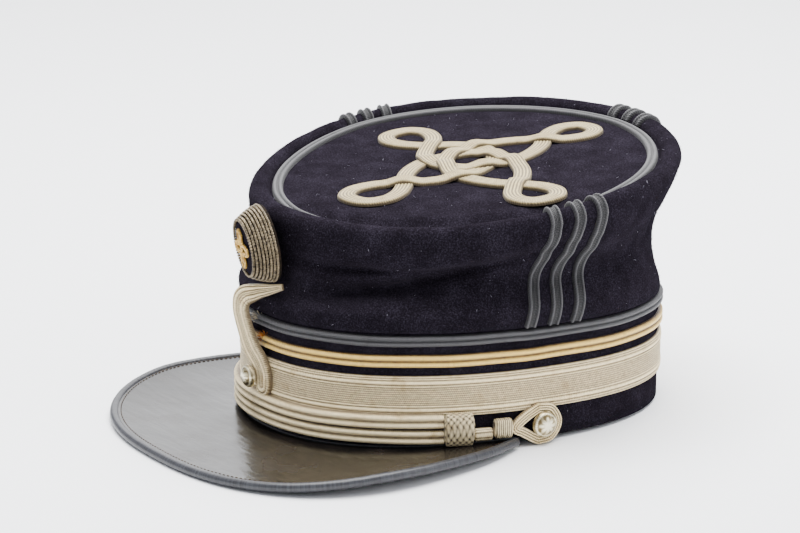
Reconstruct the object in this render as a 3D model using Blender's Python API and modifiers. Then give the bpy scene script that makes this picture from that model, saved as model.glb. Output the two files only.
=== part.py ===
"""A full-dress kepi: soft navy crown with a sunk top, braided trimmings, patent peak, chin cord and cockade.

Metres, +Z up. The peak points to -Y and the wearer's left is +X. Every piece is laid out in the cap's own
space, where the lower edge of the band is flat at height 0, and the stand empty then leans the whole cap
forward, so that it rests on the peak's binding and on the back of the band.
"""

import math

import bmesh
import bpy
from mathutils import Matrix, Vector

# General
CAP = "kepi"
GAP = 0.0003
SEGMENTS = 48
CLOTH = 0.0020

# Band
BAND_LENGTH = 0.1970
BAND_WIDTH = 0.1698
BAND_HEIGHT = 0.0520
BAND_WALL = 0.0022
BAND_SQUARENESS = 2.26
BAND_FULLNESS = 0.12

# Trimmings of the band
LACE_LOW = 0.0136
LACE_WIDTH = 0.0190
LACE_THICKNESS = 0.0010
GOLD_LOW = 0.0363
GOLD_WIDTH = 0.0060
GREY_LOW = 0.0459
GREY_WIDTH = 0.0052
BRAID_THICKNESS = 0.0019

# Crown and its rolled rim
RIM_LENGTH = 0.2128
RIM_WIDTH = 0.1968
RIM_SQUARENESS = 1.82
RIM_FULLNESS = 0.11
ROLL_AT_ENDS = 0.0112
ROLL_AT_SIDES = 0.0084
ROLL_RISE = 0.0042
ROLL_SINK = 0.0012
ROLL_LIP = 0.0016
PUFF = 0.0100
RIM_SAG = 0.0046
RIM_SAG_TURN = math.radians(50.0)
RIM_SAG_SPREAD = math.radians(31.0)

# Sunk top
TOP_HEIGHT = 0.1088
TOP_SETBACK = 0.0082
TOP_PITCH = math.radians(6.2)
TOP_ROLL = math.radians(2.6)
TOP_BRAID_WIDTH = 0.0052
TOP_BRAID_THICKNESS = 0.0017
TOP_BRAID_INSET = 0.0008

# Vertical braids, in threes
SIDE_BRAID_WIDTH = 0.0054
SIDE_BRAID_SPACING = 0.0114
SIDE_BRAID_THICKNESS = 0.0017
SIDE_BRAID_SHIFT = -0.0018
SIDE_BRAID_LEAN_LEFT = -0.0024
SIDE_BRAID_LEAN_RIGHT = -0.0101
SIDE_BRAID_LEAN_BACK = -0.0042

# Top knot
KNOT_AHEAD = 0.0048
KNOT_ASIDE = 0.0006
KNOT_WIDTH = 0.0096
KNOT_THICKNESS = 0.0018
KNOT_STEP = 0.0003
KNOT_HEART = 0.0118

# Peak
PEAK_REACH = 0.0600
PEAK_HALF_WIDTH = 0.1022
PEAK_WIDEST = 0.0366
PEAK_SQUARENESS = 2.4
PEAK_FLARE = 0.08
PEAK_SWEEP = math.radians(112)
PEAK_TAPER = 0.50
PEAK_THICKNESS = 0.0022
PEAK_SEAT = 0.0017
PEAK_LIFT = 0.0040
PEAK_DROP = 0.0028
BINDING_DIAMETER = 0.0044

# Chin cord, its slides, whippings and loops
CORD_WIDTH = 0.0068
CORD_THICKNESS = 0.0030
CORD_LOW = 0.0016
SLIDE_LENGTH = 0.0128
SLIDE_HEIGHT = 0.0144
SLIDE_THICKNESS = 0.0056
STRAND_LENGTH = 0.0083
STRAND_WIDTH = 0.0056
STRAND_THICKNESS = 0.0034
WHIPPING_LENGTH = 0.0080
WHIPPING_HEIGHT = 0.0086
WHIPPING_THICKNESS = 0.0056
LOOP_REACH = 0.0155
LOOP_BACK = 0.0072
LOOP_RISE = 0.0074
LOOP_LIFT = 0.0022
LOOP_WIDTH = 0.0046
LOOP_THICKNESS = 0.0024
SIDE_BUTTON_TURN = math.radians(87.5)

# Buttons
SIDE_BUTTON_DIAMETER = 0.0118
FRONT_BUTTON_DIAMETER = 0.0104
BUTTON_DOME = 0.0030
BUTTON_RIM = 0.0012
SHANK_DIAMETER = 0.0032
BUTTON_STEPS = 14

# Cockade and the doubled strap under it
COCKADE_HEIGHT = 0.0856
COCKADE_DIAMETER = 0.0370
COCKADE_FACE_DIAMETER = 0.0280
COCKADE_DEPTH = 0.0118
COCKADE_NOD = math.radians(9.0)
COCKADE_TURN = math.radians(13.0)
COCKADE_WELL = 0.0016
COCKADE_RIM = 0.0016
COCKADE_STANDOFF = 0.0033
COCKADE_ASIDE = 0.0026
FACE_THICKNESS = 0.0010
MOTIF_SPREAD = 0.0088
MOTIF_WIRE = 0.0016
COCKADE_STEPS = 20
STRAP_WIDTH = 0.0116
STRAP_THICKNESS = 0.0028
STRAP_BULGE = 0.0046
FRONT_BUTTON_HEIGHT = 0.0225
FRONT_BUTTON_ASIDE = -0.0045

# Crown wall between band and rim: how far up, and how far it swells (+) or sinks (-), as shares of PUFF
CROWN_ROWS = (
    # up, front, side, back
    (0.00, 0.10, 0.22, -0.06),
    (0.03, 0.12, 0.23, -0.08),
    (0.10, 0.18, 0.26, -0.34),
    (0.20, 0.18, 0.18, -0.76),
    (0.30, -0.50, -0.16, -0.90),
    (0.40, -0.70, -0.56, -0.84),
    (0.50, -0.56, -0.70, -0.80),
    (0.60, -0.46, -0.55, -0.84),
    (0.70, -0.34, -0.12, -0.90),
    (0.80, -0.24, 0.08, -0.76),
    (0.90, -0.10, 0.06, -0.30),
    (1.00, 0.00, 0.00, 0.00),
)

# Soft folds of the crown: where each starts and ends (degrees round from the front, share up), how deep as a
# share of PUFF, and how broad as a share of the crown's height
FOLDS = (
    # turn_a, up_a, turn_b, up_b, depth, breadth
    (14.0, 0.20, 84.0, 0.78, -0.30, 0.10),
    (18.0, 0.64, 66.0, 0.66, -0.24, 0.09),
    (20.0, 0.44, 74.0, 0.94, 0.16, 0.08),
    (128.0, 0.50, 148.0, 0.96, -0.20, 0.08),
    (-20.0, 0.30, -80.0, 0.70, -0.26, 0.10),
    (-104.0, 0.74, -150.0, 0.46, -0.20, 0.10),
)

# How far the sag of the rim reaches into the sunk top, as a share of the sag at the edge
TOP_SAG_ROWS = (
    # place between middle (0) and edge (1), share
    (0.00, 0.00),
    (0.60, 0.05),
    (0.85, 0.38),
    (1.00, 1.00),
)

# Half of one strand of the top knot, from a loop's tip to the heart of the knot, as shares of the arm's reach
KNOT_ROWS = (
    # across, along
    (-0.05, 0.995),
    (0.06, 0.985),
    (0.155, 0.86),
    (0.125, 0.72),
    (0.00, 0.595),
    (-0.115, 0.42),
    (-0.170, 0.17),
)

# Arms of the top knot, clockwise from the back
KNOT_ARMS = (
    # direction in degrees, reach
    (91.4, 0.0720),
    (-7.4, 0.0735),
    (-81.0, 0.0730),
    (180.0, 0.0625),
)

# Doubled strap from under the cockade to the front button
STRAP_ROWS = (
    # up from button to cockade, aside as a share of its width, bulge as a share of STRAP_BULGE, share of width
    (0.982, 1.12, 0.60, 0.24),
    (0.945, 0.62, 0.78, 0.42),
    (0.910, 0.14, 0.96, 0.62),
    (0.85, -0.28, 1.06, 0.88),
    (0.70, -0.50, 1.04, 1.00),
    (0.47, -0.46, 0.84, 1.00),
    (0.31, -0.28, 0.58, 1.00),
    (0.17, -0.02, 0.20, 1.00),
    (0.05, 0.12, 0.00, 1.00),
    (-0.06, 0.14, 0.00, 1.00),
)

# Section of a slide, a strand or a whipping round the chin cord, as shares of its height and thickness
COLLAR_SECTION = (
    # up, out
    (-0.5, 0.25),
    (-0.5, 0.70),
    (-0.3, 1.00),
    (0.3, 1.00),
    (0.5, 0.70),
    (0.5, 0.25),
    (0.3, 0.00),
    (-0.3, 0.00),
)

# Lower half of a button's loop, from its point to the button, as shares of LOOP_REACH and LOOP_RISE
LOOP_ROWS = (
    # ahead, up
    (0.856, -0.10),
    (0.62, -0.42),
    (0.22, -0.92),
)

# Head of a button, from the middle of its dome to its rim, as shares of its radius and of BUTTON_DOME
BUTTON_ROWS = (
    # out, up
    (0.00, 1.00),
    (0.55, 0.78),
    (0.86, 0.22),
    (1.00, 0.00),
)

# Side of the cockade from its face to its foot: place between face (0) and foot (1), and share of its depth
COCKADE_ROWS = (
    # out, up
    (0.00, 0.91),
    (0.55, 0.50),
    (1.00, 0.12),
    (0.88, 0.00),
)

# Colours: red, green, blue, then roughness and metallic
COLOURS = {
    "navy_wool": (0.013, 0.012, 0.022, 0.95, 0.0),
    "silver_lace": (0.60, 0.56, 0.46, 0.50, 0.6),
    "gold_braid": (0.60, 0.42, 0.17, 0.50, 0.5),
    "grey_braid": (0.16, 0.165, 0.18, 0.80, 0.0),
    "patent_leather": (0.012, 0.011, 0.011, 0.18, 0.0),
    "silver_wire": (0.30, 0.26, 0.19, 0.45, 0.8),
    "gold_wire": (0.60, 0.40, 0.12, 0.40, 0.9),
    "button_metal": (0.62, 0.56, 0.40, 0.35, 1.0),
}


def mix(a, b, share):
    """Value or vector between a and b."""
    return a + (b - a) * share


def power(value, exponent):
    """Signed power, for superellipses."""
    return math.copysign(abs(value) ** exponent, value)


def oval(turn, half_length, half_width, squareness, fullness):
    """Point of a superellipse, wider towards the back; turn 0 is the front and grows to the wearer's left."""
    y = -half_length * power(math.cos(turn), 2 / squareness)
    x = half_width * power(math.sin(turn), 2 / squareness)
    return Vector((x * (1 + fullness * y / half_length), y, 0))


def turns(count=SEGMENTS):
    """Even turns once round the cap."""
    return [2 * math.pi * i / count for i in range(count)]


def band_point(turn, height, out=0.0):
    """Point on the band's outside, or out from it."""
    point = oval(turn, BAND_LENGTH / 2 + out, BAND_WIDTH / 2 + out, BAND_SQUARENESS, BAND_FULLNESS)
    point.z = height
    return point


def outward(turn):
    """Level direction straight out of the band."""
    step = 0.01
    along = band_point(turn + step, 0) - band_point(turn - step, 0)
    return Vector((along.y, -along.x, 0)).normalized()


def edge_point(turn, rim):
    """Point on the band's outline, or on the rim's."""
    return rim_point(turn, False) if rim else band_point(turn, 0)


def turn_at(distance, rim=False):
    """Turn at a distance along the band, or the rim, from the front centre to the wearer's left."""
    step = math.radians(0.5)
    turn = 0.0
    left = abs(distance)
    while left > 0:
        piece = (edge_point(turn + step, rim) - edge_point(turn, rim)).length
        turn += step * min(1.0, left / piece)
        left -= piece
    return math.copysign(turn, distance)


def distance_at(end, rim=False):
    """Distance along the band, or the rim, from the front centre to a turn."""
    count = 200
    points = [edge_point(end * i / count, rim) for i in range(count + 1)]
    return sum((b - a).length for a, b in zip(points, points[1:]))


TOP = (Matrix.Translation((0, TOP_SETBACK, TOP_HEIGHT))
       @ Matrix.Rotation(TOP_PITCH, 4, "X")
       @ Matrix.Rotation(TOP_ROLL, 4, "Y"))


def rim_sag(turn, share=1.0):
    """How far the rim sags at its soft front left, or the top at a share of the way out to its edge."""
    away = math.remainder(turn - RIM_SAG_TURN, 2 * math.pi) / RIM_SAG_SPREAD
    low, high = next(pair for pair in zip(TOP_SAG_ROWS, TOP_SAG_ROWS[1:]) if share <= pair[1][0])
    return RIM_SAG * math.exp(-away ** 2) * mix(low[1], high[1], (share - low[0]) / (high[0] - low[0]))


def top_point(turn, inset):
    """Point of the sunk top, at a distance in from the rolled rim."""
    edge = oval(turn, RIM_LENGTH / 2 - ROLL_AT_ENDS, RIM_WIDTH / 2 - ROLL_AT_SIDES, RIM_SQUARENESS, RIM_FULLNESS)
    point = edge * (1 - inset / edge.length)
    point.z = -rim_sag(turn, point.length / edge.length)
    return point


def rim_point(turn, inner):
    """Point of the rim's outer edge, or of its inner edge, in the top's own plane."""
    ends = ROLL_AT_ENDS if inner else 0.0
    sides = ROLL_AT_SIDES if inner else 0.0
    return oval(turn, RIM_LENGTH / 2 - ends, RIM_WIDTH / 2 - sides, RIM_SQUARENESS, RIM_FULLNESS)


def roll_point(turn, angle):
    """Point on the rolled rim: angle 0 is its outer side, a quarter turn its crest, a half turn its inside."""
    outer = rim_point(turn, False)
    inner = rim_point(turn, True)
    point = mix(inner, outer, (1 + math.cos(angle)) / 2)
    point.z = (ROLL_RISE + ROLL_SINK) * math.sin(angle) - ROLL_SINK - rim_sag(turn)
    return TOP @ point


def crown_swell(turn, up):
    """How far the crown's wall swells out or sinks in, from the rows and the folds."""
    low, high = next(pair for pair in zip(CROWN_ROWS, CROWN_ROWS[1:]) if up <= pair[1][0])
    share = (up - low[0]) / (high[0] - low[0])
    front, side, back = [mix(a, b, share) for a, b in zip(low[1:], high[1:])]
    ahead = -math.cos(turn)
    swell = front * max(0.0, -ahead) ** 2 + back * max(0.0, ahead) ** 2 + side * math.sin(turn) ** 2
    for fold in FOLDS:
        swell += fold_depth(turn, up, *fold)
    return PUFF * swell


def fold_depth(turn, up, turn_a, up_a, turn_b, up_b, depth, breadth):
    """Share by which one fold moves the wall at a place."""
    degrees = math.degrees(math.remainder(turn, 2 * math.pi))
    along = (degrees - turn_a) / (turn_b - turn_a)
    inside = max(0.0, min(1.0, along))
    fade = math.exp(-((along - inside) * 4) ** 2) * math.sin(math.pi * min(1.0, max(0.0, 0.12 + 0.76 * inside)))
    away = (up - mix(up_a, up_b, inside)) / breadth
    return depth * fade * math.exp(-away ** 2) * math.sin(math.pi * min(1.0, up)) ** 0.5


def crown_point(turn, up):
    """Point on the crown's outside, from the top of the band (0) to the widest part of the rim (1)."""
    low = band_point(turn, BAND_HEIGHT + GAP)
    high = roll_point(turn, 0.0)
    return mix(low, high, up) + outward(turn) * crown_swell(turn, up)


def wall_point(turn, height, out):
    """Point out from the band, or from the crown above it, at a height."""
    if height <= BAND_HEIGHT:
        return band_point(turn, height, out)
    up = (height - BAND_HEIGHT) / (roll_point(turn, 0.0).z - BAND_HEIGHT)
    return crown_point(turn, min(1.0, up)) + outward(turn) * out


def smooth(points, steps, closed=False):
    """Points along a smooth curve through the given ones."""
    count = len(points)
    found = []
    for i in range(count if closed else count - 1):
        if closed:
            a, b, c, d = (points[(i + k) % count] for k in (-1, 0, 1, 2))
        else:
            a, b, c, d = (points[min(max(i + k, 0), count - 1)] for k in (-1, 0, 1, 2))
        for k in range(steps):
            t = k / steps
            found.append(0.5 * ((2 * b) + (c - a) * t + (2 * a - 5 * b + 4 * c - d) * t * t
                                + (3 * b - a - 3 * c + d) * t ** 3))
    if not closed:
        found.append(points[-1])
    return found


def material(name):
    """Principled material in one of the cap's colours."""
    made = bpy.data.materials.get(name) or bpy.data.materials.new(name)
    made.use_nodes = True
    shader = made.node_tree.nodes["Principled BSDF"]
    red, green, blue, rough, metal = COLOURS[name]
    shader.inputs["Base Color"].default_value = (red, green, blue, 1)
    shader.inputs["Roughness"].default_value = rough
    shader.inputs["Metallic"].default_value = metal
    return made


def add_object(name, data, colour, parent, collection=None):
    """Put mesh or curve data into the scene as one named piece."""
    piece = bpy.data.objects.new(name, data)
    (collection or bpy.data.collections[CAP]).objects.link(piece)
    piece.parent = parent
    data.materials.append(material(colour))
    if isinstance(data, bpy.types.Mesh):
        data.shade_smooth()
        data.set_sharp_from_angle(angle=math.radians(35))
    return piece


def loft(name, rows, closed_rows, closed_points, capped=False):
    """Mesh through rows of points, with its two ends filled where it is capped."""
    mesh = bpy.data.meshes.new(name)
    shape = bmesh.new()
    grid = [[shape.verts.new(point) for point in row] for row in rows]
    count = len(grid)
    width = len(grid[0])
    for i in range(count if closed_rows else count - 1):
        low = grid[i]
        high = grid[(i + 1) % count]
        for k in range(width if closed_points else width - 1):
            n = (k + 1) % width
            shape.faces.new((low[k], low[n], high[n], high[k]))
    if capped:
        shape.faces.new(list(reversed(grid[0])))
        shape.faces.new(grid[-1])
    if capped or closed_rows:
        bmesh.ops.recalc_face_normals(shape, faces=shape.faces)
    shape.to_mesh(mesh)
    shape.free()
    return mesh


def sweep(name, frames, section, closed):
    """Solid strip: the section carried along frames of (place, across, out)."""
    rows = [[place + across * a + out * b for a, b in section] for place, across, out in frames]
    return loft(name, rows, closed, True, not closed)


def ridged(width, thickness):
    """Section of a braid with two ridges and a groove between them."""
    return ((-width / 2, 0), (-width / 4, thickness), (0, thickness * 0.5),
            (width / 4, thickness), (width / 2, 0))


def flat(width, thickness):
    """Section of a flat braid with eased edges."""
    return ((-width / 2, 0), (-width / 2, thickness * 0.6), (-width * 0.36, thickness),
            (width * 0.36, thickness), (width / 2, thickness * 0.6), (width / 2, 0))


def outline_curve(name, outlines, thickness, height):
    """Flat outlines, the second one a hole, given a thickness from a height upwards."""
    curve = bpy.data.curves.new(name, "CURVE")
    curve.dimensions = "2D"
    curve.fill_mode = "BOTH"
    curve.extrude = thickness / 2
    for outline in outlines:
        spline = curve.splines.new("POLY")
        spline.points.add(len(outline) - 1)
        for point, place in zip(spline.points, outline):
            point.co = (place.x, place.y, 0, 1)
        spline.use_cyclic_u = True
    curve.transform(Matrix.Translation((0, 0, height + thickness / 2)))
    return curve


def make_band(cap):
    """Stiff lower wall, open above and below."""
    outer = [band_point(turn, 0) for turn in turns()]
    inner = [band_point(turn, 0, -BAND_WALL) for turn in turns()]
    curve = outline_curve("band", (outer, inner), BAND_HEIGHT, 0.0)
    add_object("band", curve, "navy_wool", cap)


def make_lace(cap):
    """Broad silver lace round the band."""
    outer = [band_point(turn, 0, GAP + LACE_THICKNESS) for turn in turns()]
    inner = [band_point(turn, 0, GAP) for turn in turns()]
    curve = outline_curve("lace_band", (outer, inner), LACE_WIDTH, LACE_LOW)
    add_object("lace_band", curve, "silver_lace", cap)


def make_band_braid(cap, name, low, width, colour):
    """Braid with two ridges round the band."""
    up = Vector((0, 0, 1))
    frames = [(band_point(turn, low + width / 2, GAP), up, outward(turn)) for turn in turns()]
    add_object(name, sweep(name, frames, ridged(width, BRAID_THICKNESS), True), colour, cap)


def make_crown(cap):
    """Soft upper wall, turned over in a roll at the rim, as cloth of one thickness."""
    rows = [[crown_point(turn, row[0]) for turn in turns()] for row in CROWN_ROWS]
    for angle in (45, 90, 135, 180):
        rows.append([roll_point(turn, math.radians(angle)) for turn in turns()])
    down = TOP.to_3x3() @ Vector((0, 0, -ROLL_LIP))
    rows.append([point + down for point in rows[-1]])
    crown = add_object("crown_side", loft("crown_side", rows, False, True), "navy_wool", cap)
    cloth = crown.modifiers.new("cloth", "SOLIDIFY")
    cloth.thickness = CLOTH
    cloth.offset = -1
    cloth.use_even_offset = True


def make_top(top):
    """Sunk top disc, sagging with the rim."""
    shares = [row[0] for row in TOP_SAG_ROWS[1:]]
    edge = [top_point(turn, GAP) for turn in turns()]
    rows = [[place(turn, point, share) for turn, point in zip(turns(), edge)]
            for place, share in [(top_side, share) for share in shares]
            + [(under_side, share) for share in reversed(shares)]]
    add_object("top_disc", loft("top_disc", rows, False, True, True), "navy_wool", top)


def top_side(turn, edge, share):
    """Point on the top disc's upper side."""
    return Vector((edge.x * share, edge.y * share, -rim_sag(turn, share)))


def under_side(turn, edge, share):
    """Point on the top disc's under side."""
    return top_side(turn, edge, share) - Vector((0, 0, CLOTH))


def make_top_braid(top):
    """Braid round the edge of the top disc."""
    frames = []
    for turn in turns():
        outer = top_point(turn, TOP_BRAID_INSET)
        inner = top_point(turn, TOP_BRAID_INSET + TOP_BRAID_WIDTH)
        across = (outer - inner).normalized()
        along = Vector((-across.y, across.x, 0)).normalized()
        frames.append((mix(inner, outer, 0.5) + Vector((0, 0, GAP)), across, across.cross(along)))
    mesh = sweep("top_braid", frames, ridged(TOP_BRAID_WIDTH, TOP_BRAID_THICKNESS), True)
    add_object("top_braid", mesh, "grey_braid", top)


def surface_frame(turn, up, angle):
    """Place, level direction along the wall and direction out of it, on the crown or on its rolled rim."""
    def place(a, b, c):
        return roll_point(a, c) if c > 0 else crown_point(a, b)

    step = 0.02
    here = place(turn, up, angle)
    along = place(turn + step, up, angle) - place(turn - step, up, angle)
    if angle > 0:
        rising = place(turn, up, angle + step) - place(turn, up, angle - step + 0.0001)
    else:
        rising = place(turn, min(1.0, up + step), 0) - place(turn, max(0.0, up - step), 0)
    along.normalize()
    out = along.cross(rising).normalized()
    return here + out * GAP, along, out


def make_side_braids(cap):
    """Nine grey braids in threes, from the band up over the rim."""
    section = ridged(SIDE_BRAID_WIDTH, SIDE_BRAID_THICKNESS)
    groups = (("left", 1, math.pi / 2, SIDE_BRAID_SHIFT, SIDE_BRAID_LEAN_LEFT), ("back", 1, math.pi, 0.0, SIDE_BRAID_LEAN_BACK),
              ("right", -1, math.pi / 2, SIDE_BRAID_SHIFT, SIDE_BRAID_LEAN_RIGHT))
    for side, way, middle, shift, lean in groups:
        for number in range(3):
            spread = (number - 1) * SIDE_BRAID_SPACING
            low = turn_at(way * (distance_at(middle) + shift) + spread)
            high = turn_at(way * (distance_at(middle, True) + shift) + spread + lean, True)
            frames = []
            for row in CROWN_ROWS:
                frames.append(surface_frame(mix(low, high, row[0]), max(row[0], 0.012), 0.0))
            for angle in (45, 90, 135):
                frames.append(surface_frame(high, 1.0, math.radians(angle)))
            name = f"braid_{side}_{number + 1}"
            add_object(name, sweep(name, frames, section, False), "grey_braid", cap)


def knot_strand(index):
    """Middle line of one strand of the knot, from one loop's tip round the heart to the next loop's tip."""
    def on_arm(arm, side, row):
        direction, reach = KNOT_ARMS[arm % len(KNOT_ARMS)]
        angle = math.radians(direction)
        along = Vector((math.cos(angle), math.sin(angle), 0))
        across = Vector((math.sin(angle), -math.cos(angle), 0))
        return (along * row[1] + across * row[0] * side) * reach

    first = [on_arm(index, 1, row) for row in KNOT_ROWS]
    second = [on_arm(index + 1, -1, row) for row in reversed(KNOT_ROWS)]
    heart = -(on_arm(index, 1, (0, 1)) + on_arm(index + 1, 1, (0, 1))).normalized() * KNOT_HEART
    return smooth(first + [heart] + second, 2)


def make_knot(top, cutters):
    """Four-looped knot of flat silver braid, fused from its four strands."""
    base = None
    for index in range(len(KNOT_ARMS)):
        line = knot_strand(index)
        thickness = KNOT_THICKNESS + KNOT_STEP * (len(KNOT_ARMS) - 1 - index)
        section = ((-KNOT_WIDTH / 2, 0), (-KNOT_WIDTH / 2, thickness),
                   (KNOT_WIDTH / 2, thickness), (KNOT_WIDTH / 2, 0))
        frames = []
        for i, place in enumerate(line):
            ahead = (line[min(i + 1, len(line) - 1)] - line[max(i - 1, 0)]).normalized()
            frames.append((place, Vector((ahead.y, -ahead.x, 0)), Vector((0, 0, 1))))
        name = "top_knot" if index == 0 else f"knot_strand_{index + 1}"
        mesh = sweep(name, frames, section, False)
        strand = add_object(name, mesh, "silver_lace", top, None if index == 0 else cutters)
        strand.location = (KNOT_ASIDE, KNOT_AHEAD, GAP)
        if index == 0:
            base = strand
            continue
        strand.hide_render = True
        strand.display_type = "WIRE"
        join = base.modifiers.new(name, "BOOLEAN")
        join.operation = "UNION"
        join.object = strand


def peak_edge(share):
    """Point of the peak's outline: share runs from -1 (right end) through 0 (front) to 1 (left end)."""
    turn = share * PEAK_SWEEP
    half_length = PEAK_REACH + PEAK_WIDEST
    y = -half_length * power(math.cos(turn), 2 / PEAK_SQUARENESS)
    x = PEAK_HALF_WIDTH * power(math.sin(turn), 2 / PEAK_SQUARENESS) * (1 - PEAK_FLARE * y / half_length)
    edge = Vector((x, y + PEAK_WIDEST - BAND_LENGTH / 2, 0))
    seat = band_point(turn_at(peak_end() * share), 0, GAP)
    return mix(seat, edge, 1 - PEAK_TAPER * abs(share) ** 10)


def peak_inset(share, inset):
    """Point inside the peak's outline by a distance."""
    step = 0.01
    along = (peak_edge(share + step) - peak_edge(share - step)).normalized()
    return peak_edge(share) + Vector((-along.y, along.x, 0)) * inset


def peak_height(point):
    """Height of the middle of the peak's leather: dished across, and dropping ahead of the band."""
    ahead = max(0.0, -BAND_LENGTH / 2 - point.y) / PEAK_REACH
    return -PEAK_SEAT + PEAK_LIFT * (point.x / PEAK_HALF_WIDTH) ** 4 - PEAK_DROP * ahead


def peak_end():
    """Distance along the band at which the peak ends, just ahead of the button's loop."""
    return distance_at(SIDE_BUTTON_TURN) - LOOP_REACH + PEAK_THICKNESS


def peak_rows(inset, count=32, columns=2):
    """Rows of points across the peak, from the band to the outline."""
    rows = []
    for i in range(count + 1):
        share = 2 * i / count - 1
        inner = band_point(turn_at(peak_end() * share), 0, GAP)
        outer = peak_inset(share, inset)
        row = []
        for k in range(columns + 1):
            point = mix(inner, outer, k / columns)
            point.z = peak_height(point)
            row.append(point)
        rows.append(row)
    return rows


def make_peak(cap):
    """Crescent of patent leather, sewn to the lower edge of the band."""
    mesh = loft("peak", peak_rows(BINDING_DIAMETER + GAP), False, False)
    peak = add_object("peak", mesh, "patent_leather", cap)
    leather = peak.modifiers.new("leather", "SOLIDIFY")
    leather.thickness = PEAK_THICKNESS
    leather.offset = 0


def make_binding(cap):
    """Rolled leather edge of the peak."""
    curve = bpy.data.curves.new("peak_binding", "CURVE")
    curve.dimensions = "3D"
    curve.bevel_depth = BINDING_DIAMETER / 2
    curve.bevel_resolution = 2
    curve.use_fill_caps = True
    line = [row[-1] for row in peak_rows(BINDING_DIAMETER / 2)]
    spline = curve.splines.new("POLY")
    spline.points.add(len(line) - 1)
    for point, place in zip(spline.points, line):
        point.co = (*place, 1)
    add_object("peak_binding", curve, "patent_leather", cap)


def cord_out():
    """How far the chin cord's back lies off the band: clear of the lace under it."""
    return LACE_THICKNESS + 2 * GAP


def make_chin_cords(cap):
    """Two flat silver braids, one above the other, from slide to slide round the front."""
    end = distance_at(SIDE_BUTTON_TURN) - LOOP_REACH - WHIPPING_LENGTH - STRAND_LENGTH - SLIDE_LENGTH - 4 * GAP
    count = 24
    for number, name in enumerate(("chin_cord_lower", "chin_cord_upper")):
        middle = CORD_LOW + CORD_WIDTH / 2 + number * (CORD_WIDTH + GAP)
        frames = []
        for i in range(count + 1):
            turn = turn_at(end * (2 * i / count - 1))
            frames.append((band_point(turn, middle, cord_out()), Vector((0, 0, 1)), outward(turn)))
        add_object(name, sweep(name, frames, flat(CORD_WIDTH, CORD_THICKNESS), False), "silver_lace", cap)


def collar(name, start, length, middle, height, thickness, colour, cap, side, steps=4):
    """Rounded block round the cord, along the band."""
    frames = []
    for i in range(steps + 1):
        turn = side * turn_at(start + length * i / steps)
        frames.append((band_point(turn, middle, cord_out()), Vector((0, 0, 1)), outward(turn)))
    section = [(height * up, thickness * out) for up, out in COLLAR_SECTION]
    return add_object(name, sweep(name, frames, section, False), colour, cap)


def cord_middle():
    """Height of the line between the two chin cords' lower and upper edges."""
    return CORD_LOW + CORD_WIDTH + GAP / 2


def make_cord_ends(cap):
    """Slide, single strand, whipping, button loop and button at each end of the chin cord."""
    for side, word in ((1, "left"), (-1, "right")):
        button = distance_at(SIDE_BUTTON_TURN)
        place = button - LOOP_REACH - GAP - WHIPPING_LENGTH
        low = CORD_LOW + CORD_WIDTH / 2
        collar(f"whipping_{word}", place, WHIPPING_LENGTH, low + GAP * 9, WHIPPING_HEIGHT,
               WHIPPING_THICKNESS, "silver_wire", cap, side, 3)
        place -= GAP + STRAND_LENGTH
        collar(f"strand_{word}", place, STRAND_LENGTH, low + GAP, STRAND_WIDTH, STRAND_THICKNESS,
               "silver_lace", cap, side, 3)
        place -= GAP + SLIDE_LENGTH
        collar(f"slide_{word}", place, SLIDE_LENGTH, cord_middle(), SLIDE_HEIGHT, SLIDE_THICKNESS,
               "silver_wire", cap, side)
        make_loop(cap, word, side, button)
        make_side_button(cap, word, side)


def loop_height():
    """Height of the side button's centre."""
    return CORD_LOW + CORD_WIDTH / 2 + LOOP_LIFT


def make_loop(cap, word, side, button):
    """Flat braid round the side button, drawn to a point at the whipping."""
    points = [Vector((-ahead * LOOP_REACH, rise * LOOP_RISE, 0)) for ahead, rise in LOOP_ROWS]
    for degrees in (-100, -55, 0, 55, 100):
        angle = math.radians(degrees)
        points.append(Vector((LOOP_BACK * math.cos(angle), LOOP_RISE * math.sin(angle), 0)))
    points += [Vector((-ahead * LOOP_REACH, -rise * LOOP_RISE, 0)) for ahead, rise in reversed(LOOP_ROWS[1:])]
    line = smooth(points, 2, True)
    frames = []
    for i, place in enumerate(line):
        ahead = (line[(i + 1) % len(line)] - line[i - 1]).normalized()
        turn = side * turn_at(button + place.x)
        out = outward(turn)
        level = Vector((-out.y, out.x, 0)) * side
        here = band_point(turn, loop_height() + place.y, cord_out())
        frames.append((here, level * ahead.y - Vector((0, 0, 1)) * ahead.x, out))
    name = f"button_loop_{word}"
    section = ((-LOOP_WIDTH / 2, 0), (-LOOP_WIDTH / 2, LOOP_THICKNESS * 0.6), (0, LOOP_THICKNESS),
               (LOOP_WIDTH / 2, LOOP_THICKNESS * 0.6), (LOOP_WIDTH / 2, 0))
    add_object(name, sweep(name, frames, section, True), "silver_lace", cap)


def turned(name, profile, steps, colour, parent):
    """Turned piece: a profile of (radius, height), top to bottom, spun about its axis."""
    mesh = bpy.data.meshes.new(name)
    shape = bmesh.new()
    verts = [shape.verts.new((radius, 0, height)) for radius, height in profile]
    for a, b in zip(verts, verts[1:]):
        shape.edges.new((a, b))
    shape.to_mesh(mesh)
    shape.free()
    piece = add_object(name, mesh, colour, parent)
    spin = piece.modifiers.new("turn", "SCREW")
    spin.axis = "Z"
    spin.steps = steps
    spin.render_steps = steps
    spin.use_merge_vertices = True
    spin.merge_threshold = 0.00001
    return piece


def facing(point, out, nod=0.0):
    """Matrix that puts a turned piece's axis along a direction out of the wall."""
    tilt = Matrix.Rotation(nod, 4, "X")
    turn = out.to_track_quat("Z", "Y").to_matrix().to_4x4()
    return Matrix.Translation(point) @ turn @ tilt


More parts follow.
